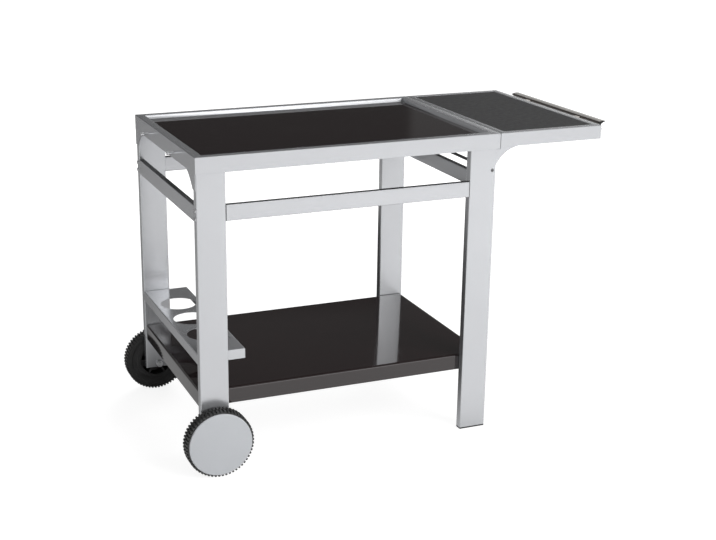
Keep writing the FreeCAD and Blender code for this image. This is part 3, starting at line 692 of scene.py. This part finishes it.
def places_tree():
    """Copies at the vertices of the base mesh, turned about Z by its attribute."""
    build = CopiesTree("copies_at_places")
    points = build.add("GeometryNodeMeshToPoints", {"Mesh": build.given["Geometry"]})
    turn = build.add("GeometryNodeInputNamedAttribute", {"Name": "turn"}, data_type="FLOAT")
    rotation = build.add("ShaderNodeCombineXYZ", {"Z": turn.outputs["Attribute"]})
    return build.finish(points.outputs[0], rotation.outputs[0])


def copied(name, source_mesh, slot, base, tree, **values):
    """The plain mesh of the copies that a tree makes of a source on a base mesh."""
    source = placed_object(name + "_single", source_mesh)
    values.update(Piece=source, Material=finish_of(slot))
    holder = placed_object(name + "_source", base)
    modifier = holder.modifiers.new("copies", "NODES")
    modifier.node_group = tree
    for item in tree.interface.items_tree:
        label = item.name.replace(" ", "_")
        if item.item_type == "SOCKET" and item.in_out == "INPUT" and label in values:
            modifier[item.identifier] = values[label]
    bpy.context.view_layer.update()
    evaluated = holder.evaluated_get(bpy.context.evaluated_depsgraph_get())
    mesh = bpy.data.meshes.new_from_object(evaluated)
    mesh.name = name
    holder.modifiers.remove(modifier)
    bpy.data.objects.remove(holder)
    bpy.data.objects.remove(source)
    return mesh


def copies_around(name, source_mesh, slot, **values):
    """One mesh with copies of the source around an axle."""
    return copied(name, source_mesh, slot, bpy.data.meshes.new(name), ring_tree(), **values)


def add_copies(name, source_mesh, slot, places, node):
    """Copies of a small mesh as one piece in place of a node.

    Each place holds a point and the angle about Z that its copy is turned by.
    """
    base = bpy.data.meshes.new(name)
    base.from_pydata([point for point, turn in places], [], [])
    turns = base.attributes.new("turn", "FLOAT", "POINT")
    turns.data.foreach_set("value", [turn for point, turn in places])
    mesh = copied(name, source_mesh, slot, base, places_tree())
    add_piece(name, mesh, slot, node)


# Frame, legs, rails and shelves

FRAME_MEMBERS = ("frame_front", "frame_back", "frame_left", "frame_right")
LEGS = ("leg_front_left", "leg_back_left", "leg_front_right", "leg_back_right")
RAILS = ("rail_front", "rail_back", "rail_left", "rail_right")
SHEET_THICKNESS = 0.0015
BOLT_RADIUS = 0.005
BOLT_DOME_ANGLE = math.radians(70.2)
BOLT_DOME_STEPS = 6
SCREW_RADIUS = 0.0045


class TABLE_OT_frame(bpy.types.Operator):
    """Folded silver frame round the worktop"""

    bl_idname = "oven_table.frame"
    bl_label = "Worktop frame"

    def execute(self, context):
        finish_nodes("silver_paint", sizes().sheet_edge, *FRAME_MEMBERS)
        return {"FINISHED"}


class TABLE_OT_panels(bpy.types.Operator):
    """Gloss black worktop and dark side shelf panel"""

    bl_idname = "oven_table.panels"
    bl_label = "Worktop and side panel"

    def execute(self, context):
        finish_nodes("gloss_black", sizes().tube_edge, "worktop")
        finish_nodes("grey_panel", sizes().sheet_edge, "side_panel")
        return {"FINISHED"}


class TABLE_OT_legs(bpy.types.Operator):
    """Four flat tube legs and the two feet"""

    bl_idname = "oven_table.legs"
    bl_label = "Legs and feet"

    def execute(self, context):
        finish_nodes("silver_paint", sizes().sheet_edge, *LEGS)
        finish_nodes("black_plastic", sizes().tube_edge, "foot_front", "foot_back")
        return {"FINISHED"}


def bolt_head_mesh():
    """Round bolt head with a hexagon socket; its seat is at the origin and it points to -X."""
    radius = BOLT_RADIUS
    height = sizes().bolt_dome
    profile = [(0.0, 0.0), (0.0, radius)]
    for step in range(BOLT_DOME_STEPS + 1):
        angle = BOLT_DOME_ANGLE * step / BOLT_DOME_STEPS
        rise = math.sin(angle) / math.sin(BOLT_DOME_ANGLE)
        reach = radius * (0.46 + 0.54 * math.cos(angle * 1.15))
        profile.append((-height * (0.25 + 0.75 * rise), reach))
    socket = radius * 0.42
    profile += [(-height, socket * 1.08, 6), (-height * 0.4, socket, 6), (-height * 0.3, 0.0)]
    return revolved_mesh("bolt_head", profile, 36, "X")


class TABLE_OT_rails(bpy.types.Operator):
    """Rails under the worktop, their dark end plugs and their bolts"""

    bl_idname = "oven_table.rails"
    bl_label = "Rails and bolts"

    def execute(self, context):
        finish_nodes("silver_paint", sizes().sheet_edge, *RAILS)
        finish_nodes("black_plastic", sizes().sheet_edge, "rail_end_plugs")
        bolts = "rail_bolts_left"
        seat = span("leg_front_left", 0)[0]
        places = [
            ((seat, y, z), 0.0)
            for y in inset(bolts, 1, BOLT_RADIUS)
            for z in inset(bolts, 2, BOLT_RADIUS)
        ]
        add_copies("rail_bolt_heads", bolt_head_mesh(), "zinc_steel", places, bolts)
        return {"FINISHED"}


def screw_head_mesh():
    """Pan head with a hexagon recess; its seat is at the origin and it points to +Y."""
    profile = [
        (0.0, 0.0),
        (0.0, SCREW_RADIUS),
        (0.0010, SCREW_RADIUS),
        (0.0018, 0.0041),
        (0.0023, 0.0034),
        (0.0025, 0.0025),
        (0.0025, 0.0016, 6),
        (0.0011, 0.0010, 6),
        (0.0009, 0.0),
    ]
    return revolved_mesh("screw_head", profile, 24, "Y")


def screw_places(node):
    """Seats of the screws of a node, front and back, with the turn that faces them inwards."""
    z = middle(node).z
    front = span("leg_front_left", 1)[1] + SHEET_THICKNESS
    back = span("leg_back_left", 1)[0] - SHEET_THICKNESS
    places = []
    for x in sorted({round(x, 5) for x in inset(node, 0, SCREW_RADIUS)}):
        places += [((x, front, z), 0.0), ((x, back, z), math.pi)]
    return places


class TABLE_OT_storage(bpy.types.Operator):
    """Black lower shelf, bottle rack and the screws that hold them"""

    bl_idname = "oven_table.storage"
    bl_label = "Lower shelf and bottle rack"

    def execute(self, context):
        finish_nodes("gloss_black", sizes().sheet_edge, "lower_shelf")
        finish_nodes("silver_paint", sizes().sheet_edge, "bottle_rack")
        for node in ("shelf_screws", "rack_screws"):
            places = screw_places(node)
            add_copies(node + "_heads", screw_head_mesh(), "zinc_steel", places, node)
        return {"FINISHED"}


PEG_STEM = 0.0030
PEG_KNOB_LENGTH = 0.0070
PEG_RING_LENGTH = 0.0020
PEG_DOME = 0.0020
PEG_DOME_STEPS = 6


def peg_mesh(reach, knob):
    """Turned peg: straight stem, grooved ring and a rounded knob, pointing to -X."""
    neck = reach - PEG_KNOB_LENGTH
    groove = neck + PEG_RING_LENGTH
    outline = [
        (0.0, 0.0),
        (0.0, PEG_STEM),
        (neck - 0.0010, PEG_STEM),
        (neck - 0.0004, PEG_STEM * 1.06),
        (neck, PEG_STEM * 1.25),
        (neck, knob * 0.94),
        (neck + 0.0004, knob),
        (groove - 0.0004, knob),
        (groove, knob * 0.94),
        (groove + 0.0002, knob * 0.80),
        (groove + 0.0008, knob * 0.80),
        (groove + 0.0010, knob * 0.90),
        (groove + 0.0014, knob * 0.94),
    ]
    for step in range(PEG_DOME_STEPS + 1):
        angle = math.pi / 2 * step / PEG_DOME_STEPS
        along = reach - PEG_DOME + PEG_DOME * math.sin(angle)
        outline.append((along, knob * (0.50 + 0.44 * math.cos(angle))))
    outline.append((reach, 0.0))
    return revolved_mesh("peg", [(-along, radius) for along, radius in outline], 40, "X")


class TABLE_OT_pegs(bpy.types.Operator):
    """Bright utensil pegs on the left end"""

    bl_idname = "oven_table.pegs"
    bl_label = "Utensil pegs"

    def execute(self, context):
        pegs = "utensil_pegs"
        tip, seat = span(pegs, 0)
        radius = extent(pegs, 2) / 2
        z = middle(pegs).z
        places = [((seat, y, z), 0.0) for y in inset(pegs, 1, radius)]
        add_copies("pegs_turned", peg_mesh(seat - tip, radius), "chrome_plate", places, pegs)
        return {"FINISHED"}


# Wheels
#
# Radii, depths and lengths in metres. A depth is counted from the side that it cuts into,
# and a rounding is how far a corner is cut back along both of its edges.

FINE_ROUNDING = 0.0004
ROUNDING = 0.0008
TYRE_CLEARANCE = 0.0001
TYRE_GROOVE_DEPTH = 0.0012
TYRE_GROOVE_START = 0.0560
TYRE_GROOVE_STOP = 0.0712
TYRE_SHOULDER = 0.0020
TYRE_CROWN = 0.0004
TOOTH_FOOT = 0.0010
TOOTH_WIDTH_SHARE = 0.97
HUB_BORE = 0.00605
HUB_BOSS = 0.0150
HUB_POCKET = 0.0110
HUB_POCKET_DEPTH = 0.0081
HUB_WEB = 0.0030
RIM_AT_WEB = 0.0039
RIM_AT_EDGE = 0.0036
SPOKE_START = 0.0140
SPOKE_INTO_RIM = 0.0035
SPOKE_INTO_WEB = 0.0028
SPOKE_SET_BACK = 0.0030
CAP_BEVEL = 0.0015
WHEEL_STEPS = 120
HUB_STEPS = 72


def inside_out(node, outward):
    """Both sides of a wheel's piece along Y, the one nearer to the table first."""
    return sorted(span(node, 1), key=lambda y: y * outward)


def turned_on_axle(name, node, outward, corners, steps):
    """A shell turned about the axle, with its corners counted from the node's inner side."""
    inner = inside_out(node, outward)[0]
    centre = middle(node)
    profile = [(inner + outward * along, reach) for along, reach in rounded_profile(corners)]
    return revolved_mesh(name, profile, steps, "Y", (centre.x, 0, centre.z))


def tread_root(side):
    """Radius of the band that the teeth of a tyre stand on."""
    return extent(side + "_tyre", 2) / 2 - sizes().tooth_height


def tyre_band_mesh(side, outward):
    """The tyre without its teeth: grooved side walls and a crowned band."""
    node = side + "_tyre"
    width = extent(node, 1)
    root = tread_root(side)
    seat = extent(side + "_hub", 2) / 2 + TYRE_CLEARANCE
    corners = [
        (0.0, seat, 0),
        (0.0, TYRE_GROOVE_START, FINE_ROUNDING),
        (TYRE_GROOVE_DEPTH, TYRE_GROOVE_START + TYRE_GROOVE_DEPTH, FINE_ROUNDING),
        (TYRE_GROOVE_DEPTH, TYRE_GROOVE_STOP - TYRE_GROOVE_DEPTH, FINE_ROUNDING),
        (0.0, TYRE_GROOVE_STOP, FINE_ROUNDING),
        (0.0, root - TYRE_SHOULDER, ROUNDING),
        (TYRE_SHOULDER, root, ROUNDING),
        (width / 2, root + TYRE_CROWN, 0),
        (width - TYRE_SHOULDER, root, ROUNDING),
        (width, root - TYRE_SHOULDER, ROUNDING),
        (width, seat, 0),
    ]
    return turned_on_axle("tyre_band", node, outward, corners, WHEEL_STEPS)


def tooth_mesh(width):
    """One tread tooth: a tapered block with a rounded top, pointing to +X."""
    height = sizes().tooth_height
    levels = (
        (-TOOTH_FOOT, 0.0058, 1.0),
        (height * 0.30, 0.0052, 0.99),
        (height * 0.88, 0.0045, 0.96),
        (height, 0.0038, 0.92),
    )
    rings = []
    for x, length, share in levels:
        y, z = width * share / 2, length / 2
        rings.append([(x, -y, -z), (x, y, -z), (x, y, z), (x, -y, z)])
    return stacked_mesh("tooth", rings)


def tread_mesh(side):
    """Rows of staggered teeth around a tyre."""
    node = side + "_tyre"
    pitch = extent(node, 1) / sizes().tread_rows
    return copies_around(
        side + "_tread",
        tooth_mesh(pitch * TOOTH_WIDTH_SHARE),
        "tyre_rubber",
        Count=sizes().tread_teeth,
        Rows=sizes().tread_rows,
        Radius=tread_root(side),
        Row_pitch=pitch,
        Stagger=0.5,
        Centre=tuple(middle(node)),
    )


def hub_shell_mesh(side, outward):
    """Rim, web next to the cap and boss with the pocket of a hub, with rounded edges."""
    node = side + "_hub"
    depth = extent(node, 1)
    rim = extent(node, 2) / 2
    start = abs(inside_out(side + "_tyre", outward)[0] - inside_out(node, outward)[0])
    web = depth - HUB_WEB
    floor = depth - HUB_POCKET_DEPTH
    corners = [
        (0.0, HUB_BORE, 0),
        (0.0, HUB_BOSS, 0.0012),
        (web, HUB_BOSS, 0.0010),
        (web, rim - RIM_AT_WEB, 0.0010),
        (start, rim - RIM_AT_EDGE, ROUNDING),
        (start, rim, 0),
        (depth, rim, 0),
        (depth, HUB_POCKET, 0.0003),
        (floor, HUB_POCKET, 0.0003),
        (floor, HUB_BORE, 0),
    ]
    return turned_on_axle("hub_shell", node, outward, corners, HUB_STEPS)


def spoke_mesh(side, outward):
    """One hub rib from the boss to the rim, thinner at its free edge, pointing to +X."""
    node = side + "_hub"
    stop = extent(node, 2) / 2 - SPOKE_INTO_RIM
    free = inside_out(side + "_tyre", outward)[0] + outward * SPOKE_SET_BACK
    web = inside_out(node, outward)[1] - outward * SPOKE_INTO_WEB
    rings = []
    for share, thick in ((0.0, 0.0050), (0.06, 0.0056), (0.5, 0.0060), (1.0, 0.0066)):
        y, z = free + (web - free) * share, thick / 2
        rings.append([(SPOKE_START, y, -z), (stop, y, -z), (stop, y, z), (SPOKE_START, y, z)])
    return stacked_mesh("spoke", rings)


def hub_mesh(name, side, outward):
    centre = middle(side + "_hub")
    spokes = copies_around(
        side + "_spokes",
        spoke_mesh(side, outward),
        "black_plastic",
        Count=sizes().hub_spokes,
        Rows=1,
        Centre=(centre.x, 0.0, centre.z),
    )
    return merged(name, hub_shell_mesh(side, outward), spokes)


def cap_mesh(side, outward):
    """Flat cover with a bevelled rim, its edges rounded."""
    node = side + "_wheel_cap"
    depth = extent(node, 1)
    radius = extent(node, 2) / 2
    corners = [
        (0.0, 0.0, 0),
        (0.0, radius, FINE_ROUNDING),
        (depth - CAP_BEVEL, radius, ROUNDING),
        (depth, radius - CAP_BEVEL, ROUNDING),
        (depth, 0.0, 0),
    ]
    return turned_on_axle("cap", node, outward, corners, WHEEL_STEPS)


class TABLE_OT_wheels(bpy.types.Operator):
    """Toothed tyres, ribbed hubs and plain caps, and what they turn on"""

    bl_idname = "oven_table.wheels"
    bl_label = "Wheels"

    def execute(self, context):
        for side, outward in (("front", -1), ("back", 1)):
            name = side + "_tyre_toothed"
            tyre = merged(name, tyre_band_mesh(side, outward), tread_mesh(side))
            add_piece(name, tyre, "tyre_rubber", side + "_tyre")
            name = side + "_hub_moulding"
            add_piece(name, hub_mesh(name, side, outward), "black_plastic", side + "_hub")
            cap = cap_mesh(side, outward)
            add_piece(side + "_cap_cover", cap, "cap_grey", side + "_wheel_cap")
        finish_nodes("zinc_steel", sizes().sheet_edge, "axle_nuts", "wheel_spacers")
        for node in ("front_axle", "back_axle", "axle_retainers", "rail_bolts_right"):
            painted(frame["nodes"][node], "zinc_steel")
        return {"FINISHED"}


# Side shelf

SIDE_SHEET = (
    "side_rim_front", "side_rim_back", "side_rim_left", "side_rim_right",
    "side_arm_front", "side_arm_back",
)
SMALL_EDGE = 0.0003


class TABLE_OT_side_shelf(bpy.types.Operator):
    """Silver rims, arms, rod and handle of the folding side shelf"""

    bl_idname = "oven_table.side_shelf"
    bl_label = "Side shelf and handle"

    def execute(self, context):
        edge = sizes().sheet_edge
        finish_nodes("silver_paint", edge, *SIDE_SHEET)
        finish_nodes("handle_aluminium", edge, "handle_bar", "handle_brackets")
        finish_nodes("dark_steel", SMALL_EDGE, "pivot_rod", "pivot_rod_caps")
        finish_nodes("zinc_steel", SMALL_EDGE, "handle_screws", "pivot_rod_clips")
        return {"FINISHED"}


# Stage
#
# The painted faces mirror the floor and the surroundings, so both are light and dark by zones.
# A zone's edge is a pair: where it starts and where it is full. On the floor it is in metres.

CAMERA_PLACE = Vector((-1.37949, -3.13631, 1.47567))
CAMERA_TURN = -21.3
CAMERA_TILT = 72.3
CAMERA_ROLL = 0.19
FOCAL_PIXELS = 1313.9
PICTURE_WIDTH = 716
SIDEWAYS_PIXELS = 50
SENSOR_WIDTH = 36

# Each lamp's name, place, the point it aims at, width, height and watts
LAMPS = (
    ("lamp_front", (2.0, -3.3, 2.4), (0.1, 0.0, 0.45), 3.0, 2.4, 130.0),
    ("lamp_back", (1.7, 3.4, 2.0), (0.0, 0.0, 0.45), 2.4, 2.0, 85.0),
    ("lamp_fill", (-2.9, -2.2, 0.9), (-0.3, 0.0, 0.4), 1.6, 1.4, 4.0),
)

FLOOR_REACH = 40.0
FLOOR_ROUGHNESS = 0.9
FLOOR_SHEEN = 0.1
FLOOR_GRAIN = 2.0
FLOOR_GRAIN_DARKEST = 0.98
FLOOR_LIT_SHARE = 0.13
FLOOR_LIT_REACH = (0.9, 2.4)
MIRROR_LIFT = 0.80
FLOOR_LEFT = 0.42
FLOOR_SLANT = 0.2
FLOOR_BEHIND_Y = (-0.5, 0.2)
FLOOR_RIGHT_X = (0.3, 1.2)
FLOOR_LEFT_X = (-0.56, -0.48)
FLOOR_FAR_X = (-0.9, -0.75)
FLOOR_FAR_Y = (1.8, 2.2)

# How bright each zone of the surroundings is
SKY_LEFT = 0.038
SKY_RIGHT = 0.082
SKY_FAR_RIGHT = 0.34
SKY_TOP = 0.08
SKY_BAND = 0.5
SKY_BAND_RIGHT = 1.3
SKY_GLEAM = 0.4
SKY_OVERHEAD = 0.5
SKY_FRONT = 3.0

# Directions in degrees, then edges as the sine of a height or the cosine of a turn
SKY_EDGE = 25.8
SKY_FRONT_TURN = 19.5
BAND_HEIGHT = (0.05, 0.15)
TOP_HEIGHT = (0.27, 0.33)
OVERHEAD_HEIGHT = (0.55, 0.85)
SIDES_EDGE = (-0.004, 0.004)
BAND_EDGE = (0.0, 0.05)
FAR_RIGHT_EDGE = (0.045, 0.085)
GLEAM_LEFT = (-0.28, -0.40)
GLEAM_BEHIND = (0.60, 0.75)
GLEAM_FOOT = (0.37, 0.42)
GLEAM_HEAD = (0.62, 0.52)
FRONT_SIDES = (0.985, 0.992)
FRONT_FOOT = (0.12, 0.18)
FRONT_HEAD = (0.48, 0.40)


def add_camera():
    camera = bpy.data.cameras.new("camera")
    holder = placed_object("camera", camera)
    turn = Matrix.Rotation(math.radians(CAMERA_TURN), 3, "Z")
    tilt = Matrix.Rotation(math.radians(CAMERA_TILT), 3, "X")
    roll = Matrix.Rotation(math.radians(CAMERA_ROLL), 3, "Z")
    holder.matrix_world = Matrix.Translation(CAMERA_PLACE) @ (turn @ tilt @ roll).to_4x4()
    camera.sensor_width = SENSOR_WIDTH
    camera.lens = FOCAL_PIXELS * SENSOR_WIDTH / PICTURE_WIDTH
    camera.shift_x = SIDEWAYS_PIXELS / PICTURE_WIDTH
    bpy.context.scene.camera = holder


def add_lamp(name, place, target, width, height, power):
    lamp = bpy.data.lights.new(name, "AREA")
    lamp.shape = "RECTANGLE"
    lamp.size = width
    lamp.size_y = height
    lamp.energy = power
    holder = placed_object(name, lamp)
    holder.visible_glossy = False
    place = Vector(place)
    aim = (Vector(target) - place).to_track_quat("-Z", "Y")
    holder.matrix_world = Matrix.Translation(place) @ aim.to_matrix().to_4x4()


def floor_in_mirrors(floor):
    """How bright the floor looks in reflections: full in front, dim behind on the left."""
    parts = floor.parts(floor.place)
    x, y = parts["X"], parts["Y"]
    slanted = floor.math("MULTIPLY_ADD", y, FLOOR_SLANT, x)
    left = floor.eased(slanted, *FLOOR_LEFT_X, FLOOR_LEFT, 0.0)
    near = floor.mixed(floor.eased(x, *FLOOR_RIGHT_X), left, 1.0)
    far = floor.product(floor.eased(y, *FLOOR_FAR_Y), floor.eased(x, *FLOOR_FAR_X))
    back = floor.mixed(far, near, 1.0)
    return floor.mixed(floor.eased(y, *FLOOR_BEHIND_Y), 1.0, back)


def floor_material():
    """Pale floor that keeps the shadows, and reads white where it is lit."""
    floor = Finish("studio_floor")
    rays = floor.add("ShaderNodeLightPath").outputs
    glossy = rays["Is Glossy Ray"]
    direct = floor.math("MAXIMUM", rays["Is Camera Ray"], rays["Is Transmission Ray"])
    mirrored = floor_in_mirrors(floor)
    share = floor.mixed(floor.noise(FLOOR_GRAIN), FLOOR_GRAIN_DARKEST, 1.0)
    seen = floor.product(share, floor.mixed(glossy, 1.0, mirrored))
    tint = floor.add(
        "ShaderNodeVectorMath", {0: tuple(colours().floor), "Scale": seen}, operation="SCALE"
    )
    floor.feed(floor.shader.inputs["Base Color"], tint.outputs["Vector"])
    floor.set(Roughness=FLOOR_ROUGHNESS, Specular_IOR_Level=FLOOR_SHEEN)
    away = floor.vector_math("LENGTH", floor.place)["Value"]
    lift = floor.eased(away, *FLOOR_LIT_REACH, 1.0 - FLOOR_LIT_SHARE, 1.0)
    for_eye = floor.product(direct, lift)
    for_mirror = floor.product(mirrored, MIRROR_LIFT, glossy)
    strength = floor.math("ADD", for_eye, for_mirror)
    glow = floor.add("ShaderNodeEmission", {"Strength": strength})
    both = floor.add("ShaderNodeAddShader", {0: floor.shader.outputs[0], 1: glow.outputs[0]})
    floor.feed(floor.nodes["Material Output"].inputs["Surface"], both.outputs[0])
    return floor.material


def add_floor():
    reach = FLOOR_REACH
    mesh = bpy.data.meshes.new("floor")
    corners = [(-reach, -reach, 0), (reach, -reach, 0), (reach, reach, 0), (-reach, reach, 0)]
    mesh.from_pydata(corners, [], [(0, 1, 2, 3)])
    mesh.materials.append(floor_material())
    placed_object("floor", mesh)


def add_world():
    """Surroundings that are white to the eye, with zones in mirrors and as light.

    The zones are a band round the horizon, dim sides and a dim top above it, a bright patch
    behind on the left, another in front, and a pale sky overhead.
    """
    world = bpy.data.worlds.new("studio")
    world.use_nodes = True
    sky = Wiring(world.node_tree)
    way = sky.add("ShaderNodeTexCoord").outputs["Generated"]
    parts = sky.parts(way)
    height = parts["Z"]
    edge = math.radians(SKY_EDGE)
    edge_normal = (math.cos(edge), -math.sin(edge), 0.0)
    across = sky.vector_math("DOT_PRODUCT", way, edge_normal)["Value"]
    toward = math.radians(SKY_FRONT_TURN)
    front_way = (math.sin(toward), -math.cos(toward), 0.0)
    flat = sky.vector_math("MULTIPLY", way, (1.0, 1.0, 0.0))["Vector"]
    level = sky.vector_math("NORMALIZE", flat)["Vector"]
    ahead = sky.vector_math("DOT_PRODUCT", level, front_way)["Value"]

    right = sky.eased(across, *FAR_RIGHT_EDGE, SKY_RIGHT, SKY_FAR_RIGHT)
    sides = sky.mixed(sky.eased(across, *SIDES_EDGE), SKY_LEFT, right)
    ceiling = sky.mixed(sky.eased(height, *TOP_HEIGHT), sides, SKY_TOP)
    band = sky.eased(across, *BAND_EDGE, SKY_BAND, SKY_BAND_RIGHT)
    light = sky.mixed(sky.eased(height, *BAND_HEIGHT), band, ceiling)
    gleam = sky.product(
        sky.eased(across, *GLEAM_LEFT),
        sky.eased(parts["Y"], *GLEAM_BEHIND),
        sky.eased(height, *GLEAM_FOOT),
        sky.eased(height, *GLEAM_HEAD),
    )
    light = sky.mixed(gleam, light, SKY_GLEAM)
    front = sky.product(
        sky.eased(ahead, *FRONT_SIDES),
        sky.eased(height, *FRONT_FOOT),
        sky.eased(height, *FRONT_HEAD),
    )
    light = sky.mixed(front, light, SKY_FRONT)
    light = sky.mixed(sky.eased(height, *OVERHEAD_HEIGHT), light, SKY_OVERHEAD)
    seen = sky.add("ShaderNodeLightPath").outputs["Is Camera Ray"]
    background = sky.nodes["Background"]
    background.inputs["Color"].default_value = (1.0, 1.0, 1.0, 1.0)
    sky.feed(background.inputs["Strength"], sky.mixed(seen, light, 1.0))
    bpy.context.scene.world = world


class TABLE_OT_stage(bpy.types.Operator):
    """Floor, studio lamps, surroundings and camera"""

    bl_idname = "oven_table.stage"
    bl_label = "Stage"

    def execute(self, context):
        add_floor()
        add_world()
        for lamp in LAMPS:
            add_lamp(*lamp)
        add_camera()
        bpy.context.scene.view_settings.view_transform = "Standard"
        return {"FINISHED"}


# Panel and registration

STEPS = (
    TABLE_OT_stage,
    TABLE_OT_frame,
    TABLE_OT_panels,
    TABLE_OT_legs,
    TABLE_OT_rails,
    TABLE_OT_storage,
    TABLE_OT_pegs,
    TABLE_OT_wheels,
    TABLE_OT_side_shelf,
)


class VIEW3D_PT_oven_table(bpy.types.Panel):
    """Steps that build the finished table"""

    bl_idname = "VIEW3D_PT_oven_table"
    bl_label = "Oven table"
    bl_space_type = "VIEW_3D"
    bl_region_type = "UI"
    bl_category = "Oven table"

    def draw(self, context):
        layout = self.layout
        for step in STEPS:
            layout.operator(step.bl_idname)
        for group in (context.scene.oven_table_sizes, context.scene.oven_table_colours):
            for name in group.bl_rna.properties.keys():
                if name not in ("rna_type", "name"):
                    layout.prop(group, name)


CLASSES = (OvenTableSizes, OvenTableColours) + STEPS + (VIEW3D_PT_oven_table,)


def register():
    for cls in CLASSES:
        bpy.utils.register_class(cls)
    bpy.types.Scene.oven_table_sizes = bpy.props.PointerProperty(type=OvenTableSizes)
    bpy.types.Scene.oven_table_colours = bpy.props.PointerProperty(type=OvenTableColours)


def unregister():
    del bpy.types.Scene.oven_table_sizes
    del bpy.types.Scene.oven_table_colours
    for cls in reversed(CLASSES):
        bpy.utils.unregister_class(cls)


def main():
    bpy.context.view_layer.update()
    register()
    bpy.ops.oven_table.stage()
    bpy.ops.oven_table.frame()
    bpy.ops.oven_table.panels()
    bpy.ops.oven_table.legs()
    bpy.ops.oven_table.rails()
    bpy.ops.oven_table.storage()
    bpy.ops.oven_table.pegs()
    bpy.ops.oven_table.wheels()
    bpy.ops.oven_table.side_shelf()


if __name__ == "__main__":
    main()
